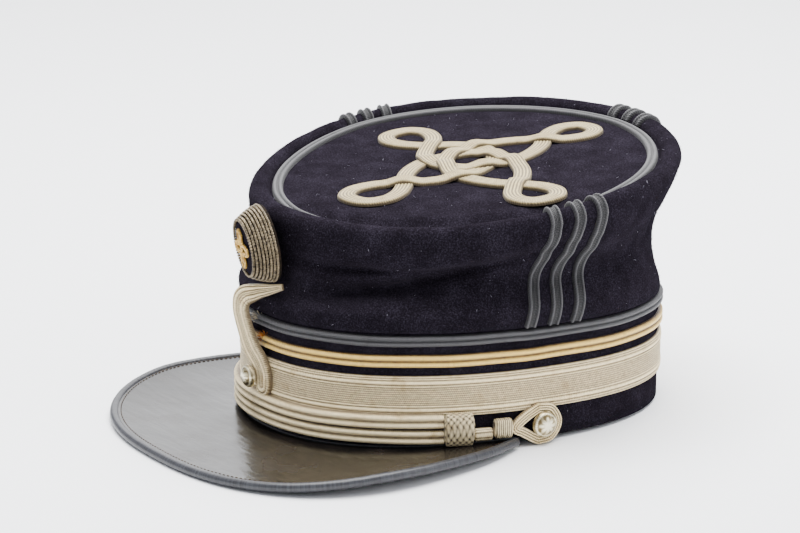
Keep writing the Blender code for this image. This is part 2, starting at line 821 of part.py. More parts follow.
def make_button(name, diameter, standoff, parent, matrix):
    """Domed metal button on its shank."""
    radius = diameter / 2
    shank = SHANK_DIAMETER / 2
    profile = [(radius * out, standoff + BUTTON_RIM + BUTTON_DOME * up) for out, up in BUTTON_ROWS]
    profile += [(radius, standoff), (shank, standoff), (shank, 0), (0, 0)]
    turned(name, profile, BUTTON_STEPS, "button_metal", parent).matrix_local = matrix


def make_side_button(cap, word, side):
    """Button that holds one end of the chin cord."""
    turn = side * SIDE_BUTTON_TURN
    place = band_point(turn, loop_height(), GAP)
    standoff = cord_out() + LOOP_THICKNESS
    make_button(f"side_button_{word}", SIDE_BUTTON_DIAMETER, standoff, cap, facing(place, outward(turn)))


def make_cockade(cap):
    """Wound cone with a sunk black face and a plain gold quatrefoil."""
    up = (COCKADE_HEIGHT - BAND_HEIGHT) / (roll_point(0.0, 0.0).z - BAND_HEIGHT)
    wall = crown_point(0.0, up)
    place = wall + Vector((COCKADE_ASIDE, -COCKADE_STANDOFF, 0))
    level = Vector((-math.sin(COCKADE_TURN), -math.cos(COCKADE_TURN), 0))
    axis = level * math.cos(COCKADE_NOD) - Vector((0, 0, math.sin(COCKADE_NOD)))
    matrix = facing(place, axis)
    foot = COCKADE_DIAMETER / 2
    face = COCKADE_FACE_DIAMETER / 2
    well = face - COCKADE_RIM
    floor = COCKADE_DEPTH - COCKADE_WELL
    profile = [(0, floor), (well, floor), (mix(well, face, 0.5), COCKADE_DEPTH)]
    profile += [(mix(face, foot, out), COCKADE_DEPTH * up) for out, up in COCKADE_ROWS]
    turned("cockade", profile + [(0, 0)], COCKADE_STEPS, "silver_wire", cap).matrix_local = matrix
    outline = [oval(turn, well - GAP, well - GAP, 2, 0) for turn in turns(COCKADE_STEPS)]
    cloth = outline_curve("cockade_face", (outline,), FACE_THICKNESS, floor + GAP)
    add_object("cockade_face", cloth, "navy_wool", cap).matrix_local = matrix
    make_motif(cap, matrix)


def make_motif(cap, matrix):
    """Quatrefoil outline in gold wire, raised on the cockade's face."""
    level = COCKADE_DEPTH - COCKADE_WELL + GAP * 2 + FACE_THICKNESS + MOTIF_WIRE / 2
    frames = []
    for turn in turns(20):
        radius = MOTIF_SPREAD * (0.66 + 0.34 * math.cos(4 * turn))
        direction = Vector((math.cos(turn), math.sin(turn), 0))
        frames.append((direction * radius + Vector((0, 0, level)), direction, Vector((0, 0, 1))))
    half = MOTIF_WIRE / 2
    section = ((-half, -half), (-half * 0.5, half), (half * 0.5, half), (half, -half))
    piece = add_object("cockade_motif", sweep("cockade_motif", frames, section, True), "gold_wire", cap)
    piece.matrix_local = matrix


def make_front_loop(cap):
    """Doubled silver strap from under the cockade, bulging off the wall, down to the front button."""
    high = COCKADE_HEIGHT - COCKADE_DIAMETER / 2
    points = []
    for up, aside, bulge, _ in STRAP_ROWS:
        height = mix(FRONT_BUTTON_HEIGHT, high, up)
        turn = turn_at(aside * STRAP_WIDTH)
        out = cord_out() + (BRAID_THICKNESS - LACE_THICKNESS + STRAP_BULGE) * bulge
        points.append(wall_point(turn, height, out))
    line = smooth(points, 3)
    widths = smooth([Vector((row[3], 0, 0)) for row in STRAP_ROWS], 3)
    frames = []
    for i, place in enumerate(line):
        ahead = (line[min(i + 1, len(line) - 1)] - line[max(i - 1, 0)]).normalized()
        across = Vector((0, -1, 0)).cross(ahead).normalized()
        frames.append((place, across * widths[i].x, ahead.cross(across).normalized()))
    mesh = sweep("front_loop", frames, flat(STRAP_WIDTH, STRAP_THICKNESS), False)
    add_object("front_loop", mesh, "silver_lace", cap)


def make_front_button(cap):
    """Button on the doubled strap."""
    turn = turn_at(FRONT_BUTTON_ASIDE)
    standoff = cord_out() + STRAP_THICKNESS + 2 * GAP
    place = band_point(turn, FRONT_BUTTON_HEIGHT, standoff)
    make_button("front_button", FRONT_BUTTON_DIAMETER, BUTTON_RIM, cap, facing(place, outward(turn)))


def stand_matrix():
    """Lean the cap forward on to the peak's binding, and centre it over the origin."""
    heel = BAND_LENGTH / 2
    tip = peak_inset(0.0, BINDING_DIAMETER / 2)
    tip.z = peak_height(tip)
    lean = math.atan2(tip.z - BINDING_DIAMETER / 2, heel - tip.y)
    leaned = Matrix.Rotation(lean, 4, "X") @ Matrix.Translation((0, -heel, 0))
    back = (leaned @ (roll_point(math.pi, 0.0) + Vector((0, GAP + SIDE_BRAID_THICKNESS, 0)))).y
    front = (leaned @ tip).y - BINDING_DIAMETER / 2
    return Matrix.Translation((0, -(back + front) / 2, 0)) @ leaned


def add_empty(name, parent, matrix):
    """Named frame that pieces hang from."""
    frame = bpy.data.objects.new(name, None)
    bpy.data.collections[CAP].objects.link(frame)
    frame.parent = parent
    frame.matrix_local = matrix
    return frame


def main():
    """Build the whole cap."""
    for thing in list(bpy.data.objects):
        bpy.data.objects.remove(thing)
    parts = bpy.data.collections.new(CAP)
    cutters = bpy.data.collections.new("cutters")
    for collection in (parts, cutters):
        bpy.context.scene.collection.children.link(collection)
    cap = add_empty("stand", None, stand_matrix())
    top = add_empty("top", cap, TOP)
    make_band(cap)
    make_lace(cap)
    make_band_braid(cap, "gold_braid", GOLD_LOW, GOLD_WIDTH, "gold_braid")
    make_band_braid(cap, "grey_braid", GREY_LOW, GREY_WIDTH, "grey_braid")
    make_crown(cap)
    make_top(top)
    make_top_braid(top)
    make_side_braids(cap)
    make_knot(top, cutters)
    make_peak(cap)
    make_binding(cap)
    make_chin_cords(cap)
    make_cord_ends(cap)
    make_cockade(cap)
    make_front_loop(cap)
    make_front_button(cap)


main()
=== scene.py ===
"""Looks of a full-dress kepi, laid out as an add-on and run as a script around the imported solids.

Metres. Shapes are worked out in the cap's own space, where the lower edge of the band is flat at height 0,
the peak points to -Y and the wearer's left is +X. STAND then leans them forward as the solids lean.
"""

import bisect
import math

import bmesh
import bpy
from mathutils import Matrix, Vector, noise


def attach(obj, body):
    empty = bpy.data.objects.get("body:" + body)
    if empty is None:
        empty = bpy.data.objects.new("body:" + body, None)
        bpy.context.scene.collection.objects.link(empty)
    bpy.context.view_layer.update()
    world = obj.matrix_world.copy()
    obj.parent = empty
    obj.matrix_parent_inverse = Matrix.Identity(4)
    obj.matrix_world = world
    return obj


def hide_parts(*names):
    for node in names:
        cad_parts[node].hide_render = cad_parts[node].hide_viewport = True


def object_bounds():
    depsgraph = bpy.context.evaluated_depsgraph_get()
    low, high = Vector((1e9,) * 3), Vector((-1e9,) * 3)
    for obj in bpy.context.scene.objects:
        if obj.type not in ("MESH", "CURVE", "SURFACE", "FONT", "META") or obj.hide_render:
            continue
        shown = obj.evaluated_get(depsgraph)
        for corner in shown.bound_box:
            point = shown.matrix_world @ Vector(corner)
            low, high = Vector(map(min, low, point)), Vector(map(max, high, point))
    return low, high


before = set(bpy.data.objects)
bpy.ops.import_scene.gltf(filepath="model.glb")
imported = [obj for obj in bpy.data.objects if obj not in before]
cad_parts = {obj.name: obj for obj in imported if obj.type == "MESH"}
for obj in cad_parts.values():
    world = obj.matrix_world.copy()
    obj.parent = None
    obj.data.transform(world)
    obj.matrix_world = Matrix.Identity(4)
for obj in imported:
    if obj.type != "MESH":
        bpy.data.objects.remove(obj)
CAD_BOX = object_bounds()

bl_info = {
    "name": "Full-dress kepi",
    "version": (1, 0, 0),
    "blender": (4, 5, 0),
    "location": "3D View > Sidebar > Kepi",
    "description": "Builds the cloth, braids, cords and trimmings of a kepi round its solids",
    "category": "Object",
}

# The picture
CAMERA_TURN = math.radians(56.7098)
CAMERA_RISE = math.radians(13.9854)
CAMERA_DISTANCE = 1.241415
CAMERA_SHIFT = (-0.021632, 0.058645)
LENS = 117.0
SENSOR = 36.0

# Shapes shared with the solids
GAP = 0.0003
CLOTH = 0.0020
BAND_LENGTH = 0.1970
BAND_WIDTH = 0.1698
BAND_HEIGHT = 0.0520
BAND_WALL = 0.0022
BAND_SQUARENESS = 2.26
BAND_FULLNESS = 0.12
LACE_LOW = 0.0136
LACE_WIDTH = 0.0190
LACE_THICKNESS = 0.0010
GOLD_LOW = 0.0363
GOLD_WIDTH = 0.0060
GREY_LOW = 0.0459
GREY_WIDTH = 0.0052
BRAID_THICKNESS = 0.0019
RIM_LENGTH = 0.2128
RIM_WIDTH = 0.1968
RIM_SQUARENESS = 1.82
RIM_FULLNESS = 0.11
ROLL_AT_ENDS = 0.0112
ROLL_AT_SIDES = 0.0084
ROLL_RISE = 0.0042
ROLL_SINK = 0.0012
ROLL_LIP = 0.0016
PUFF = 0.0100
RIM_SAG = 0.0046
RIM_SAG_TURN = math.radians(50.0)
RIM_SAG_SPREAD = math.radians(31.0)
RIM_SAG_INWARD = 6
TROUGH_DEPTH = 0.0030
TROUGH_WIDTH = 0.0140
TROUGH_FROM = math.radians(-2.0)
TROUGH_TO = math.radians(96.0)
TROUGH_EASE = math.radians(9.0)
TOP_HEIGHT = 0.1088
TOP_SETBACK = 0.0082
TOP_PITCH = math.radians(6.2)
TOP_ROLL = math.radians(2.6)
TOP_BRAID_WIDTH = 0.0052
TOP_BRAID_THICKNESS = 0.0017
TOP_BRAID_INSET = 0.0008
SIDE_BRAID_WIDTH = 0.0054
SIDE_BRAID_SPACING = 0.0114
SIDE_BRAID_THICKNESS = 0.0017
SIDE_BRAID_SHIFT = -0.0018
SIDE_BRAID_LEAN = {"left": -0.0024, "back": -0.0042, "right": -0.0101}
KNOT_AHEAD = 0.0048
KNOT_ASIDE = 0.0006
KNOT_WIDTH = 0.0085
KNOT_SPREAD = 0.0150
KNOT_THICKNESS = 0.0018
KNOT_HEART = 0.0118
PEAK_REACH = 0.0600
PEAK_HALF_WIDTH = 0.1022
PEAK_WIDEST = 0.0366
PEAK_SQUARENESS = 2.4
PEAK_FLARE = 0.08
PEAK_SWEEP = math.radians(112)
PEAK_TAPER = 0.50
PEAK_THICKNESS = 0.0022
PEAK_SEAT = 0.0017
PEAK_LIFT = 0.0040
PEAK_DROP = 0.0028
BINDING_DIAMETER = 0.0044
CORD_WIDTH = 0.0068
CORD_THICKNESS = 0.0030
CORD_LOW = 0.0016
SLIDE_LENGTH = 0.0128
SLIDE_HEIGHT = 0.0144
SLIDE_THICKNESS = 0.0056
STRAND_LENGTH = 0.0083
STRAND_WIDTH = 0.0056
STRAND_THICKNESS = 0.0034
WHIPPING_LENGTH = 0.0080
WHIPPING_HEIGHT = 0.0086
WHIPPING_THICKNESS = 0.0056
LOOP_REACH = 0.0155
LOOP_BACK = 0.0072
LOOP_RISE = 0.0074
LOOP_LIFT = 0.0022
LOOP_WIDTH = 0.0046
LOOP_THICKNESS = 0.0024
SIDE_BUTTON_TURN = math.radians(87.5)
SIDE_BUTTON_DIAMETER = 0.0118
FRONT_BUTTON_DIAMETER = 0.0104
BUTTON_DOME = 0.0030
BUTTON_RIM = 0.0012
SHANK_DIAMETER = 0.0032
COCKADE_HEIGHT = 0.0856
COCKADE_DIAMETER = 0.0370
COCKADE_FACE_DIAMETER = 0.0280
COCKADE_DEPTH = 0.0118
COCKADE_NOD = math.radians(9.0)
COCKADE_TURN = math.radians(13.0)
COCKADE_WELL = 0.0016
COCKADE_RIM = 0.0016
COCKADE_STANDOFF = 0.0033
COCKADE_ASIDE = 0.0026
FACE_THICKNESS = 0.0010
MOTIF_SPREAD = 0.0088
MOTIF_WIRE = 0.0016
STRAP_WIDTH = 0.0116
STRAP_THICKNESS = 0.0028
STRAP_BULGE = 0.0046
FRONT_BUTTON_HEIGHT = 0.0225
FRONT_BUTTON_ASIDE = -0.0045

# Crown wall between band and rim, as shares of PUFF
CROWN_ROWS = (
    # up, front, side, back
    (0.00, 0.10, 0.22, -0.06),
    (0.03, 0.12, 0.23, -0.08),
    (0.10, 0.18, 0.26, -0.34),
    (0.20, 0.18, 0.18, -0.76),
    (0.30, -0.50, -0.16, -0.90),
    (0.40, -0.70, -0.56, -0.84),
    (0.50, -0.56, -0.70, -0.80),
    (0.60, -0.46, -0.55, -0.84),
    (0.70, -0.34, -0.12, -0.90),
    (0.80, -0.24, 0.08, -0.76),
    (0.90, -0.10, 0.06, -0.30),
    (1.00, 0.00, 0.00, 0.00),
)

# Soft folds of the crown: the first six are in the solids too, the rest are creases of the cloth
FOLDS = (
    # turn_a, up_a, turn_b, up_b (degrees, shares up), depth, breadth
    (14.0, 0.20, 84.0, 0.78, -0.30, 0.10),
    (18.0, 0.64, 66.0, 0.66, -0.24, 0.09),
    (20.0, 0.44, 74.0, 0.94, 0.16, 0.08),
    (128.0, 0.50, 148.0, 0.96, -0.20, 0.08),
    (-20.0, 0.30, -80.0, 0.70, -0.26, 0.10),
    (-104.0, 0.74, -150.0, 0.46, -0.20, 0.10),
    (118.0, 0.86, 134.0, 0.52, -0.10, 0.05),
    (140.0, 0.72, 156.0, 0.36, 0.10, 0.05),
    (30.0, 0.22, 70.0, 0.40, 0.07, 0.05),
    (104.0, 0.30, 126.0, 0.70, -0.06, 0.05),
    (-40.0, 0.82, -84.0, 0.90, -0.08, 0.05),
    (14.0, 0.20, 84.0, 0.78, -0.24, 0.055),
    (18.0, 0.64, 66.0, 0.66, -0.22, 0.045),
    (12.0, 0.10, 62.0, 0.40, 0.24, 0.07),
    (30.0, 0.52, 88.0, 0.97, 0.16, 0.06),
)

# Half of one strand of the top knot: round its loop, then from the loop's neck to the knot's heart. The two
# halves pass each other at the neck, a little past the middle, so that a crossing is found there.
KNOT_LOOP_ROWS = (
    # across as a share of the loop's half width, place between tip (0) and neck (1)
    (0.66, 0.07),
    (1.00, 0.32),
    (0.84, 0.60),
    (0.42, 0.84),
    (0.03, 1.00),
)
KNOT_HEART_ROWS = (
    # across as a share of KNOT_SPREAD, place between heart (0) and neck (1)
    (-0.44, 0.84),
    (-0.82, 0.62),
    (-1.02, 0.38),
    (-0.98, 0.18),
)

# Arms of the top knot, clockwise from the back
KNOT_ARMS = (
    # direction in degrees, reach, place of the neck as a share of the reach, half width of the loop
    (91.4, 0.0720, 0.615, 0.0098),
    (-7.4, 0.0735, 0.630, 0.0100),
    (-81.0, 0.0730, 0.575, 0.0114),
    (180.0, 0.0625, 0.510, 0.0106),
)

# How high each strand of the knot lies in its heart, in the order of the arms they start from
KNOT_LAYERS = (3, 2, 0, 1)

# Rise of a strand over another as a share of its thickness, and the way it takes for it as a share of its width
KNOT_RISE = 0.95
KNOT_RAMP = 1.15

# Doubled strap from under the cockade to the front button
STRAP_ROWS = (
    # up, aside as a share of STRAP_WIDTH, bulge as a share of STRAP_BULGE, share of STRAP_WIDTH
    (0.982, 1.12, 0.60, 0.24),
    (0.945, 0.62, 0.78, 0.42),
    (0.910, 0.14, 0.96, 0.62),
    (0.85, -0.28, 1.06, 0.88),
    (0.70, -0.50, 1.04, 1.00),
    (0.47, -0.46, 0.84, 1.00),
    (0.31, -0.28, 0.58, 1.00),
    (0.17, -0.02, 0.20, 1.00),
    (0.05, 0.12, 0.00, 1.00),
    (-0.06, 0.14, 0.00, 1.00),
)

# Soft lamps: one above, a wide one behind that the peak mirrors, and a weak one at the near side
LAMPS = (
    # name, place, width, share of the key light's power
    ("key", (-0.1, 0.2, 1.5), 1.6, 1.00),
    ("backdrop", (-1.50, 0.98, 1.10), 2.0, 0.30),
    ("side", (1.3, 0.9, 0.8), 0.8, 0.07),
)
LAMPS_AIM = Vector((0, 0, 0.06))

# Relief of the broad lace across its width: thin cords and a smooth rib at each side of the fine lines
LACE_RIBS = (
    # from, to, ridges between, height
    (0.00, 0.12, 2, 0.85),
    (0.12, 0.24, 1, 1.00),
    (0.24, 0.30, 1, 0.85),
    (0.30, 0.72, 8, 0.70),
    (0.72, 0.78, 1, 0.85),
    (0.78, 0.90, 1, 1.00),
    (0.90, 1.00, 2, 0.85),
)
CORD_RIBS = ((0.00, 0.50, 1, 1.00), (0.50, 1.00, 1, 1.00))
KNOT_RIBS = ((0.00, 0.14, 1, 0.80), (0.14, 0.86, 4, 1.00), (0.86, 1.00, 1, 0.80))
STRAP_RIBS = ((0.00, 0.28, 1, 0.75), (0.28, 0.72, 1, 1.00), (0.72, 1.00, 1, 0.75))
LOOP_RIBS = ((0.00, 1.00, 4, 1.00),)
BRAID_RIBS = ((0.00, 0.50, 1, 1.00), (0.50, 1.00, 1, 1.00))
SIDE_RIBS = ((0.00, 0.30, 1, 1.00), (0.30, 0.70, 3, 0.34), (0.70, 1.00, 1, 1.00))

# Distance between turns of thread on the two-ridged braids. It is drawn coarser than on real ones, where it is
# finer than a pixel of the picture.
RIDGE_THREAD = 0.0011

# Stamp of a button, in shares of its radius
PETAL_FOOT = 0.35
PETAL_REACH = 0.38
HEART_SPREAD = 0.14
BEADS_PLACE = 0.86
BEADS_SPREAD = 0.05
BEADS = 32
STAMP_DEPTH = 0.00034

# Points round the band and the top, and round the crown and its braids; rows up the crown and over its roll
BAND_STEPS = 240
CROWN_STEPS = 300
CROWN_ROWS_DRAWN = 90
ROLL_ROWS_DRAWN = 30


def linear(text, alpha=True):
    """Linear colour from an sRGB hex value."""
    values = [int(text[i:i + 2], 16) / 255 for i in (1, 3, 5)]
    found = [v / 12.92 if v <= 0.04045 else ((v + 0.055) / 1.055) ** 2.4 for v in values]
    return (*found, 1.0) if alpha else tuple(found)


def mix(a, b, share):
    """Value or vector between a and b."""
    return a + (b - a) * share


def power(value, exponent):
    """Signed power, for superellipses."""
    return math.copysign(abs(value) ** exponent, value)


def oval(turn, half_length, half_width, squareness, fullness):
    """Point of a superellipse, wider towards the back; turn 0 is the front and grows to the wearer's left."""
    y = -half_length * power(math.cos(turn), 2 / squareness)
    x = half_width * power(math.sin(turn), 2 / squareness)
    return Vector((x * (1 + fullness * y / half_length), y, 0))


def turns(count):
    """Even turns once round the cap."""
    return [2 * math.pi * i / count for i in range(count)]


def band_point(turn, height, out=0.0):
    """Point on the band's outside, or out from it."""
    point = oval(turn, BAND_LENGTH / 2 + out, BAND_WIDTH / 2 + out, BAND_SQUARENESS, BAND_FULLNESS)
    point.z = height
    return point


def outward(turn):
    """Level direction straight out of the band."""
    step = 0.01
    along = band_point(turn + step, 0) - band_point(turn - step, 0)
    return Vector((along.y, -along.x, 0)).normalized()


def rim_point(turn, inner):
    """Point of the rim's outer edge, or of its inner edge, in the top's own plane."""
    ends = ROLL_AT_ENDS if inner else 0.0
    sides = ROLL_AT_SIDES if inner else 0.0
    return oval(turn, RIM_LENGTH / 2 - ends, RIM_WIDTH / 2 - sides, RIM_SQUARENESS, RIM_FULLNESS)


def measured(rim, count=1440):
    """Distances along the band, or the rim, from the front centre to the back centre, at even turns."""
    places = [math.pi * i / count for i in range(count + 1)]
    points = [rim_point(turn, False) if rim else band_point(turn, 0) for turn in places]
    found = [0.0]
    for a, b in zip(points, points[1:]):
        found.append(found[-1] + (b - a).length)
    return found


DISTANCES = {rim: measured(rim) for rim in (False, True)}


def turn_at(distance, rim=False):
    """Turn at a distance along the band, or the rim, from the front centre to the wearer's left."""
    known = DISTANCES[rim]
    if distance > known[-1]:
        return turn_at(distance - 2 * known[-1], rim) + 2 * math.pi
    left = min(abs(distance), known[-1])
    i = min(max(bisect.bisect(known, left) - 1, 0), len(known) - 2)
    share = (left - known[i]) / (known[i + 1] - known[i])
    return math.copysign(math.pi * (i + share) / (len(known) - 1), distance)


def distance_at(turn, rim=False):
    """Distance along the band, or the rim, from the front centre to a turn."""
    known = DISTANCES[rim]
    place = abs(turn) / math.pi * (len(known) - 1)
    i = min(int(place), len(known) - 2)
    return math.copysign(mix(known[i], known[i + 1], place - i), turn)


TOP = (Matrix.Translation((0, TOP_SETBACK, TOP_HEIGHT))
       @ Matrix.Rotation(TOP_PITCH, 4, "X")
       @ Matrix.Rotation(TOP_ROLL, 4, "Y"))


def rim_sag(turn, share=1.0):
    """How far the rim sags at its soft front left, or the top at a share of the way out to its edge."""
    away = math.remainder(turn - RIM_SAG_TURN, 2 * math.pi) / RIM_SAG_SPREAD
    return RIM_SAG * math.exp(-away ** 2) * share ** RIM_SAG_INWARD


def trough(turn, inset):
    """How far the cloth of the top dips behind the near rim, at a distance in from the roll."""
    turn = math.remainder(turn, 2 * math.pi)
    ends = 1 / (1 + math.exp((TROUGH_FROM - turn) / TROUGH_EASE))
    ends /= 1 + math.exp((turn - TROUGH_TO) / TROUGH_EASE)
    share = min(1.0, max(0.0, inset / TROUGH_WIDTH * 1.8 - 0.8))
    return TROUGH_DEPTH * ends * (1 - share * share * (3 - 2 * share))


def top_point(turn, inset):
    """Point of the sunk top, at a distance in from the rolled rim."""
    edge = rim_point(turn, True)
    point = edge * (1 - inset / edge.length)
    point.z = -rim_sag(turn, point.length / edge.length) - trough(turn, inset)
    return point


def roll_point(turn, angle):
    """Point on the rolled rim: angle 0 is its outer side, a quarter turn its crest, a half turn its inside."""
    point = mix(rim_point(turn, True), rim_point(turn, False), (1 + math.cos(angle)) / 2)
    point.z = (ROLL_RISE + ROLL_SINK) * math.sin(angle) - ROLL_SINK - rim_sag(turn)
    return TOP @ point


def row_values(up):
    """Front, side and back values of CROWN_ROWS on smooth curves through the rows."""
    i = next(k for k in range(len(CROWN_ROWS) - 1) if up <= CROWN_ROWS[k + 1][0])
    before, low, high, after = (CROWN_ROWS[min(max(i + k, 0), len(CROWN_ROWS) - 1)] for k in (-1, 0, 1, 2))
    span = high[0] - low[0]
    t = (up - low[0]) / span
    found = []
    for k in (1, 2, 3):
        start = (high[k] - before[k]) / (high[0] - before[0]) * span
        end = (after[k] - low[k]) / (after[0] - low[0]) * span
        found.append((2 * t ** 3 - 3 * t ** 2 + 1) * low[k] + (t ** 3 - 2 * t ** 2 + t) * start
                     + (3 * t ** 2 - 2 * t ** 3) * high[k] + (t ** 3 - t ** 2) * end)
    return found


def fold_depth(turn, up, turn_a, up_a, turn_b, up_b, depth, breadth):
    """Share by which one fold moves the wall at a place."""
    degrees = math.degrees(math.remainder(turn, 2 * math.pi))
    along = (degrees - turn_a) / (turn_b - turn_a)
    inside = max(0.0, min(1.0, along))
    fade = math.exp(-((along - inside) * 4) ** 2) * math.sin(math.pi * min(1.0, max(0.0, 0.12 + 0.76 * inside)))
    away = (up - mix(up_a, up_b, inside)) / breadth
    return depth * fade * math.exp(-away ** 2) * math.sin(math.pi * min(1.0, up)) ** 0.5


def crown_swell(turn, up):
    """How far the crown's wall swells out or sinks in."""
    front, side, back = row_values(up)
    ahead = -math.cos(turn)
    swell = front * max(0.0, -ahead) ** 2 + back * max(0.0, ahead) ** 2 + side * math.sin(turn) ** 2
    for fold in FOLDS:
        swell += fold_depth(turn, up, *fold)
    return PUFF * swell


def crown_point(turn, up):
    """Point on the crown's outside, from the top of the band (0) to the widest part of the rim (1)."""
    low = band_point(turn, BAND_HEIGHT + GAP)
    high = roll_point(turn, 0.0)
    point = mix(low, high, up) + outward(turn) * crown_swell(turn, up)
    ripple = noise.noise(point * 55) * 0.0009 + noise.noise(point * 150) * 0.00022
    return point + outward(turn) * ripple * math.sin(math.pi * up)


def surface_frame(turn, up, angle, lift):
    """Place, level direction along the wall and direction out of it, on the crown or on its rolled rim."""
    def place(a, b, c):
        """Point on the roll, or below it on the wall."""
        return roll_point(a, c) if c > 0 else crown_point(a, b)

    step = 0.02
    here = place(turn, up, angle)
    along = place(turn + step, up, angle) - place(turn - step, up, angle)
    if angle > 0:
        rising = place(turn, up, angle + step) - place(turn, up, max(0.0001, angle - step))
    else:
        rising = place(turn, min(1.0, up + step), 0) - place(turn, max(0.0, up - step), 0)
    along.normalize()
    out = along.cross(rising).normalized()
    return here + out * lift, along, out


def peak_end():
    """Distance along the band at which the peak ends, just ahead of the button's loop."""
    return distance_at(SIDE_BUTTON_TURN) - LOOP_REACH + PEAK_THICKNESS


def peak_edge(share):
    """Point of the peak's outline: share runs from -1 (right end) through 0 (front) to 1 (left end)."""
    turn = share * PEAK_SWEEP
    half_length = PEAK_REACH + PEAK_WIDEST
    y = -half_length * power(math.cos(turn), 2 / PEAK_SQUARENESS)
    x = PEAK_HALF_WIDTH * power(math.sin(turn), 2 / PEAK_SQUARENESS) * (1 - PEAK_FLARE * y / half_length)
    edge = Vector((x, y + PEAK_WIDEST - BAND_LENGTH / 2, 0))
    seat = band_point(turn_at(peak_end() * share), 0, GAP)
    return mix(seat, edge, 1 - PEAK_TAPER * abs(share) ** 10)


def peak_inset(share, inset):
    """Point inside the peak's outline by a distance."""
    step = 0.01
    along = (peak_edge(share + step) - peak_edge(share - step)).normalized()
    return peak_edge(share) + Vector((-along.y, along.x, 0)) * inset


def peak_height(point):
    """Height of the middle of the peak's leather: dished across, and dropping ahead of the band."""
    ahead = max(0.0, -BAND_LENGTH / 2 - point.y) / PEAK_REACH
    return -PEAK_SEAT + PEAK_LIFT * (point.x / PEAK_HALF_WIDTH) ** 4 - PEAK_DROP * ahead


def stand_matrix():
    """Lean of the whole cap on to the peak's binding, and its place over the origin."""
    heel = BAND_LENGTH / 2
    tip = peak_inset(0.0, BINDING_DIAMETER / 2)
    tip.z = peak_height(tip)
    lean = math.atan2(tip.z - BINDING_DIAMETER / 2, heel - tip.y)
    leaned = Matrix.Rotation(lean, 4, "X") @ Matrix.Translation((0, -heel, 0))
    back = (leaned @ (roll_point(math.pi, 0.0) + Vector((0, GAP + SIDE_BRAID_THICKNESS, 0)))).y
    front = (leaned @ tip).y - BINDING_DIAMETER / 2
    return Matrix.Translation((0, -(back + front) / 2, 0)) @ leaned


STAND = stand_matrix()


def smooth(points, steps, closed=False):
    """Points along a smooth curve through the given ones."""
    count = len(points)
    found = []
    for i in range(count if closed else count - 1):
        if closed:
            a, b, c, d = (points[(i + k) % count] for k in (-1, 0, 1, 2))
        else:
            a, b, c, d = (points[min(max(i + k, 0), count - 1)] for k in (-1, 0, 1, 2))
        for k in range(steps):
            t = k / steps
            found.append(0.5 * ((2 * b) + (c - a) * t + (2 * a - 5 * b + 4 * c - d) * t * t
                                + (3 * b - a - 3 * c + d) * t ** 3))
    if not closed:
        found.append(points[-1])
    return found


def ribbed(width, thickness, ribs, foot=0.25, per_rib=8):
    """Section across a braid, as (across, out, relief): ribs are (from, to, how many between, height)."""
    section = [(-width / 2, -GAP, 0.0)]
    for start, end, count, height in ribs:
        steps = per_rib * count if count < 5 else per_rib // 2 * count
        for i in range(steps):
            share = (i + 0.5) / steps
            wave = abs(math.sin(math.pi * share * count)) ** 0.7
            place = mix(start, end, share)
            edge = min(1.0, math.sin(math.pi * min(1.0, max(0.0, place))) * 4 + 0.15)
            relief = wave * height
            out = thickness * (foot + (1 - foot) * relief) * edge ** 0.5
            section.append(((place - 0.5) * width, out, relief))
    section.append((width / 2, -GAP, 0.0))
    return section


def build_mesh(name, rows, closed_rows, closed_points, capped=False, across=None, along=None, relief=None):
    """Mesh through rows of points, with its own map in metres and the height of its relief on its points."""
    count = len(rows)
    width = len(rows[0])
    verts = [STAND @ point for row in rows for point in row]
    faces = []
    uvs = []
    across = across or [i / width for i in range(width + 1)]
    along = along or [i / count for i in range(count + 1)]
    for i in range(count if closed_rows else count - 1):
        low = i * width
        high = (i + 1) % count * width
        for k in range(width if closed_points else width - 1):
            n = (k + 1) % width
            faces.append((low + k, low + n, high + n, high + k))
            uvs += [along[i], across[k], along[i], across[k + 1]]
            uvs += [along[i + 1], across[k + 1], along[i + 1], across[k]]
    if capped:
        faces.append(tuple(reversed(range(width))))
        faces.append(tuple(range((count - 1) * width, count * width)))
        uvs += [0.0] * (4 * width)
    mesh = bpy.data.meshes.new(name)
    mesh.from_pydata(verts, [], faces)
    mesh.uv_layers.new(name="strip").data.foreach_set("uv", uvs)
    heights = mesh.attributes.new("relief", "FLOAT", "POINT")
    values = list(relief or [1.0] * width) * count if not relief or len(relief) == width else list(relief)
    heights.data.foreach_set("value", values)
    mesh.shade_smooth()
    return mesh


def sweep(name, frames, section, closed, capped=True):
    """Strip: a section of (across, out, relief) carried along frames of (place, across, out)."""
    rows = [[place + side * a + out * b for a, b, _ in section] for place, side, out in frames]
    along = [0.0]
    for first, second in zip(frames, frames[1:]):
        along.append(along[-1] + (second[0] - first[0]).length)
    along.append(along[-1] + (frames[0][0] - frames[-1][0]).length)
    across = [a for a, _, _ in section] + [section[0][0]]
    relief = [height for _, _, height in section]
    return build_mesh(name, rows, closed, True, capped and not closed, across, along, relief)


def right_way_out(mesh):
    """Point every face outwards."""
    shape = bmesh.new()
    shape.from_mesh(mesh)
    bmesh.ops.remove_doubles(shape, verts=shape.verts, dist=0.000001)
    bmesh.ops.recalc_face_normals(shape, faces=shape.faces)
    shape.to_mesh(mesh)
    shape.free()


def add_piece(name, mesh, material, replaced=(), angle=50):
    """Put a finished mesh into the scene as one piece of the cap."""
    right_way_out(mesh)
    mesh.shade_smooth()
    mesh.set_sharp_from_angle(angle=math.radians(angle))
    mesh.materials.clear()
    mesh.materials.append(material)
    piece = bpy.data.objects.new(name, mesh)
    bpy.context.scene.collection.objects.link(piece)
    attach(piece, "root")
    if replaced:
        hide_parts(*replaced)
    return piece


